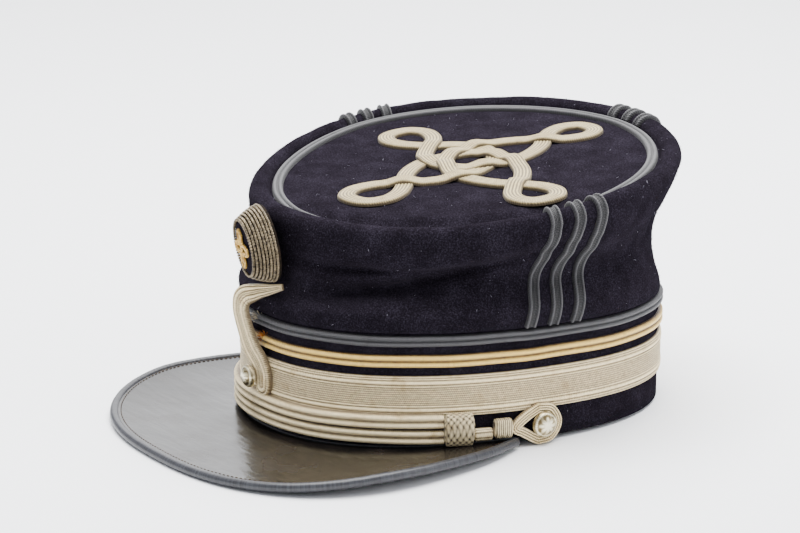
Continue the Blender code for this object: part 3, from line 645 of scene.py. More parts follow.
def joined(name, meshes):
    """One mesh from several, which are then dropped."""
    whole = bpy.data.meshes.new(name)
    shape = bmesh.new()
    for mesh in meshes:
        shape.from_mesh(mesh)
    shape.to_mesh(whole)
    shape.free()
    for mesh in meshes:
        bpy.data.meshes.remove(mesh)
    return whole


# Node trees

def fill(tree, node, values):
    """Put values or links on a node's inputs."""
    for socket, value in values.items():
        if isinstance(value, bpy.types.NodeSocket):
            tree.links.new(value, node.inputs[socket])
        else:
            node.inputs[socket].default_value = value


def add_node(tree, kind, values=None, **settings):
    """Node with its settings, and with values or links on its inputs."""
    made = tree.nodes.new(kind)
    for key, value in settings.items():
        setattr(made, key, value)
    fill(tree, made, values or {})
    return made


def maths(tree, operation, *values):
    """What a maths node makes of values or links."""
    return add_node(tree, "ShaderNodeMath", dict(enumerate(values)), operation=operation).outputs[0]


def combined(tree, x, y, z):
    """Vector of three values or links."""
    return add_node(tree, "ShaderNodeCombineXYZ", {"X": x, "Y": y, "Z": z}).outputs[0]


def new_tree(name, sizes):
    """Geometry tree with a geometry in and out, and the outputs that hold its geometry and named sizes."""
    tree = bpy.data.node_groups.new(name, "GeometryNodeTree")
    tree.interface.new_socket("Geometry", in_out="INPUT", socket_type="NodeSocketGeometry")
    tree.interface.new_socket("Geometry", in_out="OUTPUT", socket_type="NodeSocketGeometry")
    for label, kind, default in sizes:
        socket = tree.interface.new_socket(label, in_out="INPUT", socket_type=kind)
        if default is not None:
            socket.default_value = default
    return tree, add_node(tree, "NodeGroupInput").outputs


def close_tree(tree, given, geometry):
    """End a geometry tree with real geometry in its material."""
    real = add_node(tree, "GeometryNodeRealizeInstances", {"Geometry": geometry})
    painted = add_node(tree, "GeometryNodeSetMaterial",
                       {"Geometry": real.outputs["Geometry"], "Material": given["Material"]})
    smoothed = add_node(tree, "GeometryNodeSetShadeSmooth", {"Geometry": painted.outputs["Geometry"]})
    add_node(tree, "NodeGroupOutput", {"Geometry": smoothed.outputs["Geometry"]})
    return tree


def even_path(tree, given, spacing):
    """Curve along the path that goes into a tree, with points at its named spacing."""
    path = add_node(tree, "GeometryNodeMeshToCurve", {"Mesh": given["Geometry"]})
    return add_node(tree, "GeometryNodeResampleCurve",
                    {"Curve": path.outputs["Curve"], "Length": given[spacing]}, mode="LENGTH").outputs["Curve"]


def tube(tree, curve, sides, radius):
    """Closed tube round a curve."""
    ring = add_node(tree, "GeometryNodeCurvePrimitiveCircle", {"Resolution": sides, "Radius": radius})
    return add_node(tree, "GeometryNodeCurveToMesh",
                    {"Curve": curve, "Profile Curve": ring.outputs["Curve"], "Fill Caps": True}).outputs["Mesh"]


def set_out(tree, points, piece, rotation, scale):
    """Copies of a piece on points."""
    return add_node(tree, "GeometryNodeInstanceOnPoints",
                    {"Points": points, "Instance": piece, "Rotation": rotation,
                     "Scale": scale}).outputs["Instances"]


def cord_tree():
    """Tree that twists strands round a path."""
    tree, given = new_tree("twisted_cord", (
        ("Strands", "NodeSocketInt", 2),
        ("Strand Radius", "NodeSocketFloat", 0.0005),
        ("Spread", "NodeSocketFloat", 0.0004),
        ("Pitch", "NodeSocketFloat", 0.003),
        ("Step", "NodeSocketFloat", 0.0004),
        ("Material", "NodeSocketMaterial", None),
    ))
    copies = add_node(tree, "GeometryNodeDuplicateElements",
                      {"Geometry": even_path(tree, given, "Step"), "Amount": given["Strands"]}, domain="SPLINE")
    place = add_node(tree, "GeometryNodeSplineParameter")
    along = maths(tree, "DIVIDE", place.outputs["Length"], given["Pitch"])
    phase = maths(tree, "DIVIDE", copies.outputs["Duplicate Index"], given["Strands"])
    angle = maths(tree, "MULTIPLY", maths(tree, "ADD", along, phase), 2 * math.pi)
    normal = add_node(tree, "GeometryNodeInputNormal")
    tangent = add_node(tree, "GeometryNodeInputTangent")
    turned = add_node(tree, "ShaderNodeVectorRotate",
                      {"Vector": normal.outputs[0], "Axis": tangent.outputs[0], "Angle": angle},
                      rotation_type="AXIS_ANGLE")
    offset = add_node(tree, "ShaderNodeVectorMath", {0: turned.outputs[0], "Scale": given["Spread"]},
                      operation="SCALE")
    moved = add_node(tree, "GeometryNodeSetPosition",
                     {"Geometry": copies.outputs["Geometry"], "Offset": offset.outputs[0]})
    return close_tree(tree, given, tube(tree, moved.outputs["Geometry"], 6, given["Strand Radius"]))


def row_tree():
    """Tree that sets small turned pieces in a row along a path: beads, or stitches where they are long."""
    tree, given = new_tree("row_of_pieces", (
        ("Pitch", "NodeSocketFloat", 0.002),
        ("Length", "NodeSocketFloat", 0.001),
        ("Thickness", "NodeSocketFloat", 0.0005),
        ("Material", "NodeSocketMaterial", None),
    ))
    points = even_path(tree, given, "Pitch")
    tangent = add_node(tree, "GeometryNodeInputTangent")
    lying = add_node(tree, "FunctionNodeAlignRotationToVector", {"Vector": tangent.outputs[0]}, axis="X")
    bead = add_node(tree, "GeometryNodeMeshUVSphere", {"Segments": 8, "Rings": 6, "Radius": 0.5})
    size = combined(tree, given["Length"], given["Thickness"], given["Thickness"])
    return close_tree(tree, given, set_out(tree, points, bead.outputs["Mesh"], lying.outputs[0], size))


def fibre_tree():
    """Tree that scatters short bent fibres over a surface."""
    tree, given = new_tree("loose_fibres", (
        ("Density", "NodeSocketFloat", 100000.0),
        ("Length", "NodeSocketFloat", 0.001),
        ("Thickness", "NodeSocketFloat", 0.00005),
        ("Lay", "NodeSocketFloat", 0.6),
        ("Seed", "NodeSocketInt", 0),
        ("Material", "NodeSocketMaterial", None),
    ))
    points = add_node(tree, "GeometryNodeDistributePointsOnFaces",
                      {"Mesh": given["Geometry"], "Density": given["Density"], "Seed": given["Seed"]})
    low = maths(tree, "MULTIPLY", given["Lay"], -1.0)
    lean = add_node(tree, "FunctionNodeRandomValue",
                    {"Min": combined(tree, low, low, -math.pi),
                     "Max": combined(tree, given["Lay"], given["Lay"], math.pi), "Seed": 3},
                    data_type="FLOAT_VECTOR")
    turned = add_node(tree, "FunctionNodeRotateRotation",
                      {"Rotation": points.outputs["Rotation"], "Rotate By": lean.outputs["Value"]},
                      rotation_space="LOCAL")
    arc = add_node(tree, "GeometryNodeCurveQuadraticBezier",
                   {"Resolution": 3, "Start": (0, 0, 0), "Middle": (0.05, 0, 0.5), "End": (0.45, 0.1, 0.9)})
    thin = maths(tree, "DIVIDE", given["Thickness"], given["Length"])
    fibre = tube(tree, arc.outputs["Curve"], 3, thin)
    shortest = maths(tree, "MULTIPLY", given["Length"], 0.4)
    size = add_node(tree, "FunctionNodeRandomValue", {2: shortest, 3: given["Length"], "Seed": 5},
                    data_type="FLOAT")
    return close_tree(tree, given, set_out(tree, points.outputs["Points"], fibre, turned.outputs[0],
                                           size.outputs[1]))


TREES = {"cord": cord_tree, "row": row_tree, "fibre": fibre_tree}


def grown(name, base, kind, material, **sizes):
    """Plain mesh that a geometry tree makes on a base mesh, with the tree's inputs given by name."""
    tree = bpy.data.node_groups.get(kind + "_tree")
    if not tree:
        tree = TREES[kind]()
        tree.name = kind + "_tree"
    carrier = bpy.data.objects.new(name, base)
    bpy.context.scene.collection.objects.link(carrier)
    grow = carrier.modifiers.new("grow", "NODES")
    grow.node_group = tree
    values = {"Material": material, **{key.replace("_", " ").title(): value for key, value in sizes.items()}}
    for item in tree.interface.items_tree:
        if item.in_out == "INPUT" and item.name in values:
            grow[item.identifier] = values[item.name]
    evaluated = carrier.evaluated_get(bpy.context.evaluated_depsgraph_get())
    mesh = bpy.data.meshes.new_from_object(evaluated)
    mesh.name = name
    bpy.data.objects.remove(carrier)
    bpy.data.meshes.remove(base)
    if not mesh.polygons:
        raise RuntimeError(name + " came out empty")
    return mesh


def path_mesh(name, points, closed=False):
    """Mesh of edges along points, as the path of a tree."""
    mesh = bpy.data.meshes.new(name)
    edges = [(i, i + 1) for i in range(len(points) - 1)]
    if closed:
        edges.append((len(points) - 1, 0))
    mesh.from_pydata([STAND @ point for point in points], edges, [])
    return mesh


# Materials

def new_material(name):
    """Empty material: its tree, and the shader at its end."""
    made = bpy.data.materials.new(name)
    made.use_nodes = True
    tree = made.node_tree
    tree.nodes.clear()
    shader = add_node(tree, "ShaderNodeBsdfPrincipled")
    add_node(tree, "ShaderNodeOutputMaterial", {"Surface": shader.outputs["BSDF"]})
    return made, tree, shader


def ramp(tree, value, stops):
    """Colour ramp over a value, with stops of (place, hex colour)."""
    made = add_node(tree, "ShaderNodeValToRGB", {"Fac": value})
    bands = made.color_ramp
    bands.elements[0].position, bands.elements[0].color = stops[0][0], linear(stops[0][1])
    bands.elements[1].position, bands.elements[1].color = stops[-1][0], linear(stops[-1][1])
    for place, colour in stops[1:-1]:
        bands.elements.new(place).color = linear(colour)
    return made.outputs["Color"]


def mid_hex(a, b):
    """Hex colour half-way between two."""
    values = [(int(a[i:i + 2], 16) + int(b[i:i + 2], 16)) // 2 for i in (1, 3, 5)]
    return "#" + "".join(f"{v:02x}" for v in values)


def mottle(tree, place, scale, detail, roughness=0.5):
    """Noise over a place, in patches of about 1 / scale metres."""
    return add_node(tree, "ShaderNodeTexNoise", {"Vector": place, "Scale": scale, "Detail": detail,
                                                 "Roughness": roughness}).outputs["Fac"]


def bumped(tree, height, strength, distance, **under):
    """Normal of a surface in relief, over the Normal of another relief where it is given."""
    return add_node(tree, "ShaderNodeBump", {"Height": height, "Strength": strength, "Distance": distance,
                                             **under}).outputs["Normal"]


def blended(tree, factor, one, two, blend="MIX"):
    """Colour mixed from two."""
    return add_node(tree, "ShaderNodeMix", {"Factor": factor, 6: one, 7: two}, data_type="RGBA",
                    blend_type=blend).outputs[2]


def own_place(tree):
    """Place on the object, in metres."""
    return add_node(tree, "ShaderNodeTexCoord").outputs["Object"]


def own_relief(tree):
    """Height of the relief that a mesh keeps on its points."""
    return add_node(tree, "ShaderNodeAttribute", attribute_name="relief").outputs["Fac"]


def strip_map(tree):
    """Metres along and across a braid."""
    return add_node(tree, "ShaderNodeUVMap", uv_map="strip").outputs["UV"]


def felted_wool(name):
    """Melton wool, woven, milled and raised, so the eye sees a dull nap with lint and no threads."""
    look = bpy.context.scene.kepi_cloth
    made, tree, shader = new_material(name)
    place = own_place(tree)
    nap = mottle(tree, place, 1 / look.nap_size, 4.0, 0.7)
    cloud = mottle(tree, place, 90.0, 3.0)
    both = add_node(tree, "ShaderNodeMix", {"Factor": 0.22, 2: nap, 3: cloud}, data_type="FLOAT").outputs[0]
    # Painted shade and light on the nap: the colour is darker in the hollows and lighter on the raised tufts of
    # the same nap that makes the bump, with random tone from the cloud
    base = ramp(tree, both, ((0.36, look.nap_shade_hex), (0.50, look.cloth_hex), (0.68, look.rubbed_and_lit_hex)))
    cells = add_node(tree, "ShaderNodeTexVoronoi", {"Vector": place, "Scale": 1 / look.lint_spacing,
                                                    "Randomness": 1.0})
    speck = maths(tree, "LESS_THAN", cells.outputs["Distance"], 0.055)
    chance = add_node(tree, "ShaderNodeSeparateColor", {"Color": cells.outputs["Color"]})
    few = maths(tree, "LESS_THAN", chance.outputs[0], 0.30)
    dusty = maths(tree, "MULTIPLY", maths(tree, "MULTIPLY", speck, few), 0.55)
    fill(tree, shader, {"Base Color": blended(tree, dusty, base, linear(look.lint_hex)),
                        "Normal": bumped(tree, nap, 0.8, 0.0006), "Roughness": 0.95,
                        "Specular IOR Level": 0.0, "Sheen Weight": 0.022, "Sheen Roughness": 0.45,
                        "Sheen Tint": linear("#c4b4c8")})
    return made


def thread_cloth(name, colours, pitch, slant, metal, rough, bump, groove, width=0.0, soil_from=0.55):
    """Flat braid of covered thread, with painted shade in its grooves and between the fine turns of thread
    across each ridge.

    The colours are those of the ridges, the painted shade in the grooves, and the soil. A width folds the turns
    about the middle of each half of a two-ridged braid.
    """
    high, low, dirt = colours
    made, tree, shader = new_material(name)
    place = own_place(tree)
    parts = add_node(tree, "ShaderNodeSeparateXYZ", {"Vector": strip_map(tree)})
    side = maths(tree, "ABSOLUTE", parts.outputs["Y"])
    if width:
        side = maths(tree, "ABSOLUTE", maths(tree, "SUBTRACT", side, width / 4))
    leaned = maths(tree, "MULTIPLY_ADD", side, slant, parts.outputs["X"])
    wave = maths(tree, "SINE", maths(tree, "MULTIPLY", leaned, 2 * math.pi / pitch))
    loose = mottle(tree, place, 900.0, 3.0)
    cloud = mottle(tree, place, 120.0, 4.0, 0.65)
    # Painted shade: the colour darkens where the braid's relief is low, in its grooves and between turns of
    # thread, with random unevenness from the loose noise
    deep = maths(tree, "MULTIPLY_ADD", wave, 0.16, own_relief(tree))
    relief_and_noise = maths(tree, "SUBTRACT", maths(tree, "MULTIPLY_ADD", loose, 0.60, deep), 0.38)
    half = mid_hex(low, high)
    thread = ramp(tree, relief_and_noise, ((groove * 0.2, low), (groove * 0.6, half), (groove * 0.9, mid_hex(half, high)),
                               (1.0, high)))
    soil = ramp(tree, cloud, ((soil_from, "#000000"), (soil_from + 0.25, "#ffffff")))
    height = maths(tree, "MULTIPLY_ADD", wave, 0.5, loose)
    fill(tree, shader, {"Base Color": blended(tree, soil, thread, linear(dirt), "MULTIPLY"),
                        "Normal": bumped(tree, height, bump, 0.0002), "Roughness": rough, "Metallic": metal,
                        "Sheen Weight": 0.1})
    return made


def patent_leather(name):
    """Varnished calf leather: a deep black under a glassy coat, finely crazed across its bend."""
    look = bpy.context.scene.kepi_peak
    made, tree, shader = new_material(name)
    place = own_place(tree)
    stretched = add_node(tree, "ShaderNodeMapping", {"Vector": place, "Scale": (0.25, 1.0, 1.0)}).outputs[0]
    ripple = mottle(tree, stretched, 1 / look.ripple_size, 3.0)
    craze = add_node(tree, "ShaderNodeTexVoronoi", {"Vector": stretched, "Scale": 1 / look.craze_size},
                     feature="DISTANCE_TO_EDGE").outputs["Distance"]
    cracks = ramp(tree, craze, ((0.0, "#ffffff"), (0.05, "#000000")))
    scuff = mottle(tree, place, 60.0, 5.0)
    rough = add_node(tree, "ShaderNodeMapRange", {"Value": scuff, "From Min": 0.3, "From Max": 0.8,
                                                  "To Min": 0.16, "To Max": 0.34}).outputs[0]
    fine = bumped(tree, cracks, 0.12, 0.0001, Normal=bumped(tree, ripple, 0.35, 0.0006))
    fill(tree, shader, {"Base Color": ramp(tree, scuff, ((0.35, look.leather_hex), (0.75, look.rubbed_and_lit_hex))),
                        "Roughness": rough, "Normal": fine, "Coat Normal": fine, "Coat Weight": 0.06,
                        "Coat Roughness": 0.05, "IOR": 1.42})
    return made


def rolled_leather(name):
    """Thin leather rolled over the peak's edge: duller than the peak, with fine cross creases."""
    made, tree, shader = new_material(name)
    stretched = add_node(tree, "ShaderNodeMapping", {"Vector": strip_map(tree),
                                                     "Scale": (900.0, 60.0, 1.0)}).outputs[0]
    crease = mottle(tree, stretched, 1.0, 3.0)
    fill(tree, shader, {"Base Color": ramp(tree, crease, ((0.35, "#1b1b1e"), (0.70, "#3a3b40"))),
                        "Normal": bumped(tree, crease, 0.4, 0.0003), "Roughness": 0.42, "Coat Weight": 0.12,
                        "Specular IOR Level": 0.3, "Coat Roughness": 0.25})
    return made


def drawn_wire(name, bright, dull, metal, rough):
    """Fine wire or covered purl: bright where it is rubbed, brown with tarnish elsewhere."""
    made, tree, shader = new_material(name)
    place = own_place(tree)
    tarnish = mottle(tree, place, 700.0, 5.0, 0.75)
    fill(tree, shader, {"Base Color": ramp(tree, tarnish, ((0.38, dull), (0.60, bright))),
                        "Normal": bumped(tree, tarnish, 0.3, 0.0001), "Roughness": rough, "Metallic": metal})
    return made


def silvered_brass(name):
    """Stamped brass button, silvered and rubbed, with dirt in its hollows."""
    made, tree, shader = new_material(name)
    place = own_place(tree)
    stain = mottle(tree, place, 500.0, 4.0)
    relief_and_noise = maths(tree, "MULTIPLY_ADD", stain, 0.8, own_relief(tree))
    base = ramp(tree, relief_and_noise, ((0.35, "#6b5d42"), (0.60, "#cabd97"), (0.95, "#f0e8cc")))
    fill(tree, shader, {"Base Color": base, "Normal": bumped(tree, stain, 0.15, 0.0002), "Roughness": 0.34,
                        "Metallic": 0.9})
    return made


def spun_thread(name, colour, shade):
    """Loose spun thread or fibre: matt, and a little uneven in colour."""
    made, tree, shader = new_material(name)
    place = own_place(tree)
    uneven = mottle(tree, place, 600.0, 2.0)
    fill(tree, shader, {"Base Color": ramp(tree, uneven, ((0.35, shade), (0.65, colour))), "Roughness": 0.9,
                        "Specular IOR Level": 0.1})
    return made


def finish(short):
    """Material by its short name, made once."""
    look = bpy.context.scene.kepi_braid
    silver = {"pitch": look.thread, "slant": 0.5, "metal": 0.15, "rough": 0.50}
    ridged = {"pitch": RIDGE_THREAD, "slant": 1.2}
    makers = {
        # In each set of colours the first is the ridge, the second the painted shade in the grooves, the third
        # the soil
        "wool": (felted_wool, "felted navy wool", {}),
        "silver": (thread_cloth, "silver thread lace",
                   {"colours": (look.silver_hex, "#66563c", "#cdbd9f"), "bump": 0.5, "groove": 0.72, **silver}),
        "knot": (thread_cloth, "silver thread braid",
                 {"colours": (look.knot_hex, "#4c3f29", "#c9b88f"), "bump": 0.6, "groove": 1.05, **silver}),
        "gold": (thread_cloth, "gilt thread braid",
                 {"colours": (look.gold_hex, "#3f280c", "#cf9f60"), "metal": 0.15, "rough": 0.45, "bump": 0.5,
                  "groove": 0.80, "width": GOLD_WIDTH, "soil_from": 0.62, **ridged}),
        "grey": (thread_cloth, "grey silk braid",
                 {"colours": (look.grey_hex, "#121113", "#9a999e"), "metal": 0.0, "rough": 0.62, "bump": 0.6,
                  "groove": 0.85, "width": GREY_WIDTH, **ridged}),
        "purl_thread": (thread_cloth, "tarnished silver thread",
                        {"colours": ("#e4d2a6", "#3a2e1e", "#b5a27c"), "pitch": 0.0006, "slant": 0.0,
                         "metal": 0.3, "rough": 0.45, "bump": 0.5, "groove": 0.7}),
        "patent": (patent_leather, "black patent leather", {}),
        "rolled": (rolled_leather, "rolled black leather", {}),
        "purl": (drawn_wire, "tarnished silver purl",
                 {"bright": "#8e7e62", "dull": "#17110c", "metal": 0.4, "rough": 0.45}),
        "bullion": (drawn_wire, "gold bullion",
                    {"bright": "#e2bd68", "dull": "#8a6226", "metal": 0.7, "rough": 0.35}),
        "button": (silvered_brass, "silvered brass", {}),
        "core": (spun_thread, "blackened thread", {"colour": "#241c14", "shade": "#0e0b08"}),
        "stitch": (spun_thread, "brown linen thread", {"colour": "#4c3d2f", "shade": "#2b2119"}),
        "lint": (spun_thread, "pale lint", {"colour": "#8f8c98", "shade": "#5f5c68"}),
        "nap": (spun_thread, "raised wool nap", {"colour": "#201d24", "shade": "#141217"}),
        "fray": (spun_thread, "frayed silver thread", {"colour": "#c9bfa8", "shade": "#7d7058"}),
        "rust": (spun_thread, "rusty frayed thread", {"colour": "#b5702c", "shade": "#6b3c14"}),
    }
    make, label, values = makers[short]
    return bpy.data.materials.get(label) or make(label, **values)


# Pieces

def make_band():
    """Stiff wall of the band, covered in cloth turned over its lower edge."""
    wall = -BAND_WALL
    rows = []
    turned = 0.0006
    outline = [(wall * 0.25, 0.0), (0.0, turned)]
    outline += [(0.0, BAND_HEIGHT * i / 12) for i in range(1, 12)]
    outline += [(0.0, BAND_HEIGHT - turned), (wall * 0.25, BAND_HEIGHT), (wall * 0.75, BAND_HEIGHT),
                (wall, BAND_HEIGHT - turned), (wall, BAND_HEIGHT * 0.5), (wall, turned), (wall * 0.75, 0.0)]
    for out, height in outline:
        rows.append([band_point(turn, height, out) for turn in turns(BAND_STEPS)])
    return build_mesh("band_cloth", rows, True, True)


def make_crown():
    """Soft crown, turned over in a roll at the rim, with its inside."""
    count = CROWN_STEPS
    rows = []
    for i in range(CROWN_ROWS_DRAWN + 1):
        rows.append([crown_point(turn, i / CROWN_ROWS_DRAWN) for turn in turns(count)])
    for i in range(1, ROLL_ROWS_DRAWN + 1):
        rows.append([roll_wrinkled(turn, math.pi * i / ROLL_ROWS_DRAWN) for turn in turns(count)])
    down = TOP.to_3x3() @ Vector((0, 0, -ROLL_LIP))
    rows.append([point + down for point in rows[-1]])
    inner = []
    for i in range(len(rows) - 2, -1, -3):
        row = []
        for k in range(count):
            rising = rows[min(i + 1, len(rows) - 1)][k] - rows[max(i - 1, 0)][k]
            along = rows[i][(k + 1) % count] - rows[i][k - 1]
            row.append(rows[i][k] - along.cross(rising).normalized() * CLOTH)
        inner.append(row)
    return build_mesh("crown_cloth", rows + inner, True, True)


def roll_wrinkled(turn, angle):
    """Point on the rolled rim, with the cloth's slight unevenness."""
    point = roll_point(turn, angle)
    out = (point - mix(roll_point(turn, 0.0), roll_point(turn, math.pi), 0.5)).normalized()
    ripple = noise.noise(point * 60) * 0.0005 + noise.noise(point * 170) * 0.00018
    return point + out * ripple * math.sin(angle)


def make_top():
    """Sunk top disc, with a slight sag and soft unevenness of the cloth."""
    rings = 40
    rows = []
    for i in range(rings + 1):
        share = 1 - (i / rings) ** 1.5
        row = []
        for turn in turns(BAND_STEPS):
            place = rim_point(turn, True)
            dip = rim_sag(turn, share) + trough(turn, place.length * (1 - share))
            place *= share
            place.z = noise.noise(place * 40) * 0.0004 * (1 - share ** 6) - dip
            row.append(TOP @ place)
        rows.append(row)
    under = [[point + TOP.to_3x3() @ Vector((0, 0, -CLOTH)) for point in row] for row in reversed(rows[::8])]
    return build_mesh("top_cloth", rows + under, True, True)


def make_lace():
    """Broad lace round the band, woven with cords, ribs and fine lines."""
    section = ribbed(LACE_WIDTH, LACE_THICKNESS * 1.5, LACE_RIBS, 0.35)
    middle = LACE_LOW + LACE_WIDTH / 2
    up = Vector((0, 0, 1))
    frames = [(band_point(turn, middle, GAP), up, outward(turn)) for turn in turns(BAND_STEPS)]
    return sweep("broad_lace", frames, section, True)


def make_band_braid(name, low, width):
    """Two-ridged braid round the band, a little uneven as it was sewn."""
    section = ribbed(width, BRAID_THICKNESS, BRAID_RIBS, 0.3)
    frames = []
    for turn in turns(CROWN_STEPS):
        place = band_point(turn, low + width / 2, GAP)
        place.z += noise.noise(place * 45) * 0.0005
        frames.append((place, Vector((0, 0, 1)), outward(turn)))
    return sweep(name, frames, section, True)


def make_top_braid():
    """Two-ridged braid round the edge of the top."""
    section = ribbed(TOP_BRAID_WIDTH, TOP_BRAID_THICKNESS, BRAID_RIBS, 0.3)
    turned = TOP.to_3x3()
    frames = []
    for turn in turns(CROWN_STEPS):
        outer = top_point(turn, TOP_BRAID_INSET)
        inner = top_point(turn, TOP_BRAID_INSET + TOP_BRAID_WIDTH)
        across = (outer - inner).normalized()
        along = Vector((-across.y, across.x, 0)).normalized()
        place = mix(inner, outer, 0.5) + Vector((0, 0, GAP))
        frames.append((TOP @ place, turned @ across, turned @ across.cross(along)))
    return sweep("top_ring_braid", frames, section, True)


def make_side_braid(side, number):
    """One braid from the band up over the rim and down to the top."""
    section = ribbed(SIDE_BRAID_WIDTH, SIDE_BRAID_THICKNESS, SIDE_RIBS, 0.3)
    way, middle, shift = {"left": (1, math.pi / 2, SIDE_BRAID_SHIFT), "back": (1, math.pi, 0.0),
                          "right": (-1, math.pi / 2, SIDE_BRAID_SHIFT)}[side]
    spread = (number - 2) * SIDE_BRAID_SPACING
    low = turn_at(way * (distance_at(middle) + shift) + spread)
    high = turn_at(way * (distance_at(middle, True) + shift) + spread + SIDE_BRAID_LEAN[side], True)
    frames = []
    for i in range(61):
        up = i / 60
        frames.append(surface_frame(mix(low, high, up), max(up, 0.012), 0.0, GAP))
    for i in range(1, 19):
        frames.append(surface_frame(high, 1.0, math.radians(8.5 * i), GAP))
    return sweep(f"grey_braid_{side}_{number}", frames, section, False)


def knot_line():
    """Closed middle line of the whole knot in the top's plane, and the lengths along it."""
    def on_arm(arm, side, across, along):
        """Point at distances along an arm and to one side of it."""
        angle = math.radians(KNOT_ARMS[arm % len(KNOT_ARMS)][0])
        ahead = Vector((math.cos(angle), math.sin(angle), 0))
        aside = Vector((math.sin(angle), -math.cos(angle), 0))
        return ahead * along + aside * across * side

    def half(arm, side):
        """One side of an arm, from its tip to the knot's heart."""
        _, reach, neck, wide = KNOT_ARMS[arm % len(KNOT_ARMS)]
        found = []
        for across, place in KNOT_LOOP_ROWS:
            found.append(on_arm(arm, side, across * wide, reach * mix(1.0, neck, place)))
        for across, place in KNOT_HEART_ROWS:
            found.append(on_arm(arm, side, across * KNOT_SPREAD, reach * neck * place))
        return found

    points = []
    for index in range(len(KNOT_ARMS)):
        reach = KNOT_ARMS[index][1]
        points.append(on_arm(index, 1, 0.0, reach))
        points += half(index, 1)
        points.append(-(on_arm(index, 1, 0, 1) + on_arm(index + 1, 1, 0, 1)).normalized() * KNOT_HEART)
        points += reversed(half(index + 1, -1))
    line = smooth(points, 10, True)
    lengths = [0.0]
    for a, b in zip(line, line[1:] + line[:1]):
        lengths.append(lengths[-1] + (b - a).length)
    return line, lengths


def knot_crossings(line):
    """Pairs of places where the knot's line crosses itself, in the order met along the line."""
    count = len(line)
    found = []
    for i in range(count):
        a, b = line[i], line[(i + 1) % count]
        for k in range(i + 2, count):
            if (k + 1) % count == i:
                continue
            c, d = line[k], line[(k + 1) % count]
            if max(a.x, b.x) < min(c.x, d.x) or max(c.x, d.x) < min(a.x, b.x):
                continue
            if max(a.y, b.y) < min(c.y, d.y) or max(c.y, d.y) < min(a.y, b.y):
                continue
            one = (b - a).xy.cross((c - a).xy) * (b - a).xy.cross((d - a).xy)
            two = (d - c).xy.cross((a - c).xy) * (d - c).xy.cross((b - c).xy)
            if one < 0 and two < 0:
                found.append((i, k))
    return found


def on_top(line, first, second):
    """Which of two places where the knot's line crosses itself lies over the other."""
    strand_points = len(line) // len(KNOT_ARMS)
    opposite = abs(first // strand_points - second // strand_points) == 2
    if opposite or line[first].length > KNOT_SPREAD * 1.6:
        return min(first, second, key=lambda place: place % strand_points)
    return max(first, second, key=lambda place: KNOT_LAYERS[place // strand_points])


def make_knot():
    """Four-looped knot of flat braid, its strands passing over and under one another."""
    line, lengths = knot_line()
    whole = lengths[-1]
    over = [on_top(line, *pair) for pair in knot_crossings(line)]
    section = ribbed(KNOT_WIDTH, KNOT_THICKNESS * 0.9, KNOT_RIBS, 0.72)
    turned = TOP.to_3x3()
    frames = []
    count = len(line)
    for i, place in enumerate(line):
        rise = 0.0
        for crossing in over:
            apart = abs(lengths[i] - lengths[crossing])
            apart = min(apart, whole - apart) / (KNOT_WIDTH * KNOT_RAMP)
            if apart < 1:
                rise = max(rise, 0.5 + 0.5 * math.cos(math.pi * apart))
        ahead = (line[(i + 1) % count] - line[i - 1]).normalized()
        here = place + Vector((KNOT_ASIDE, KNOT_AHEAD, GAP + rise * KNOT_THICKNESS * KNOT_RISE))
        frames.append((TOP @ here, turned @ Vector((ahead.y, -ahead.x, 0)), turned @ Vector((0, 0, 1))))
    return sweep("knot_braid", frames, section, True)


def peak_sheet(inset, rows=160, columns=26):
    """Grid over the middle of the peak's leather, from the band to its outline."""
    grid = []
    for i in range(rows + 1):
        share = 2 * i / rows - 1
        inner = band_point(turn_at(peak_end() * share), 0, GAP)
        outer = peak_inset(share, inset)
        row = []
        for k in range(columns + 1):
            point = mix(inner, outer, k / columns)
            point.z = peak_height(point)
            row.append(point)
        grid.append(row)
    return grid


def make_peak():
    """Crescent of patent leather, smooth above and below."""
    grid = peak_sheet(BINDING_DIAMETER * 0.6)
    half = PEAK_THICKNESS / 2
    rows = []
    for row in grid:
        upper = [point + Vector((0, 0, half + noise.noise(point * 30) * 0.0002)) for point in row]
        lower = [point - Vector((0, 0, half)) for point in reversed(row)]
        rows.append(upper + lower)
    return build_mesh("patent_peak", rows, False, True, True)


def tube_frames(points):
    """Frames for a round tube along points that lie nearly flat."""
    frames = []
    for i, place in enumerate(points):
        ahead = (points[min(i + 1, len(points) - 1)] - points[max(i - 1, 0)]).normalized()
        side = ahead.cross(Vector((0, 0, 1))).normalized()
        frames.append((place, side, side.cross(ahead)))
    return frames


def round_section(radius, count=16, squash=1.0):
    """Section of a round tube."""
    return [(radius * math.cos(turn), radius * squash * math.sin(turn), 1.0) for turn in turns(count)]


def make_binding():
    """Leather rolled over the peak's edge."""
    points = [row[-1] for row in peak_sheet(BINDING_DIAMETER / 2, 320, 1)]
    frames = []
    for place, side, up in tube_frames(points):
        frames.append((place + up * noise.noise(place * 220) * 0.0001, side, up))
    return sweep("rolled_binding", frames, round_section(BINDING_DIAMETER / 2, 16, 0.96), False)


def cord_out():
    """How far the chin cord's back lies off the band."""
    return LACE_THICKNESS + 2 * GAP


def cord_end():
    """Distance from the front centre at which the doubled chin cord goes into its slide."""
    return (distance_at(SIDE_BUTTON_TURN) - LOOP_REACH - WHIPPING_LENGTH - STRAND_LENGTH - SLIDE_LENGTH
            - 4 * GAP)


def make_chin_cord(number):
    """One of the two flat braids of the chin cord."""
    section = ribbed(CORD_WIDTH, CORD_THICKNESS, CORD_RIBS, 0.45)
    middle = CORD_LOW + CORD_WIDTH / 2 + number * (CORD_WIDTH + GAP)
    frames = []
    for i in range(241):
        turn = turn_at(cord_end() * (i / 120 - 1))
        place = band_point(turn, middle, cord_out())
        place.z += noise.noise(place * 30 + Vector((number * 7, 0, 0))) * 0.0003
        frames.append((place, Vector((0, 0, 1)), outward(turn)))
    return sweep(("lower", "upper")[number] + "_chin_braid", frames, section, False)


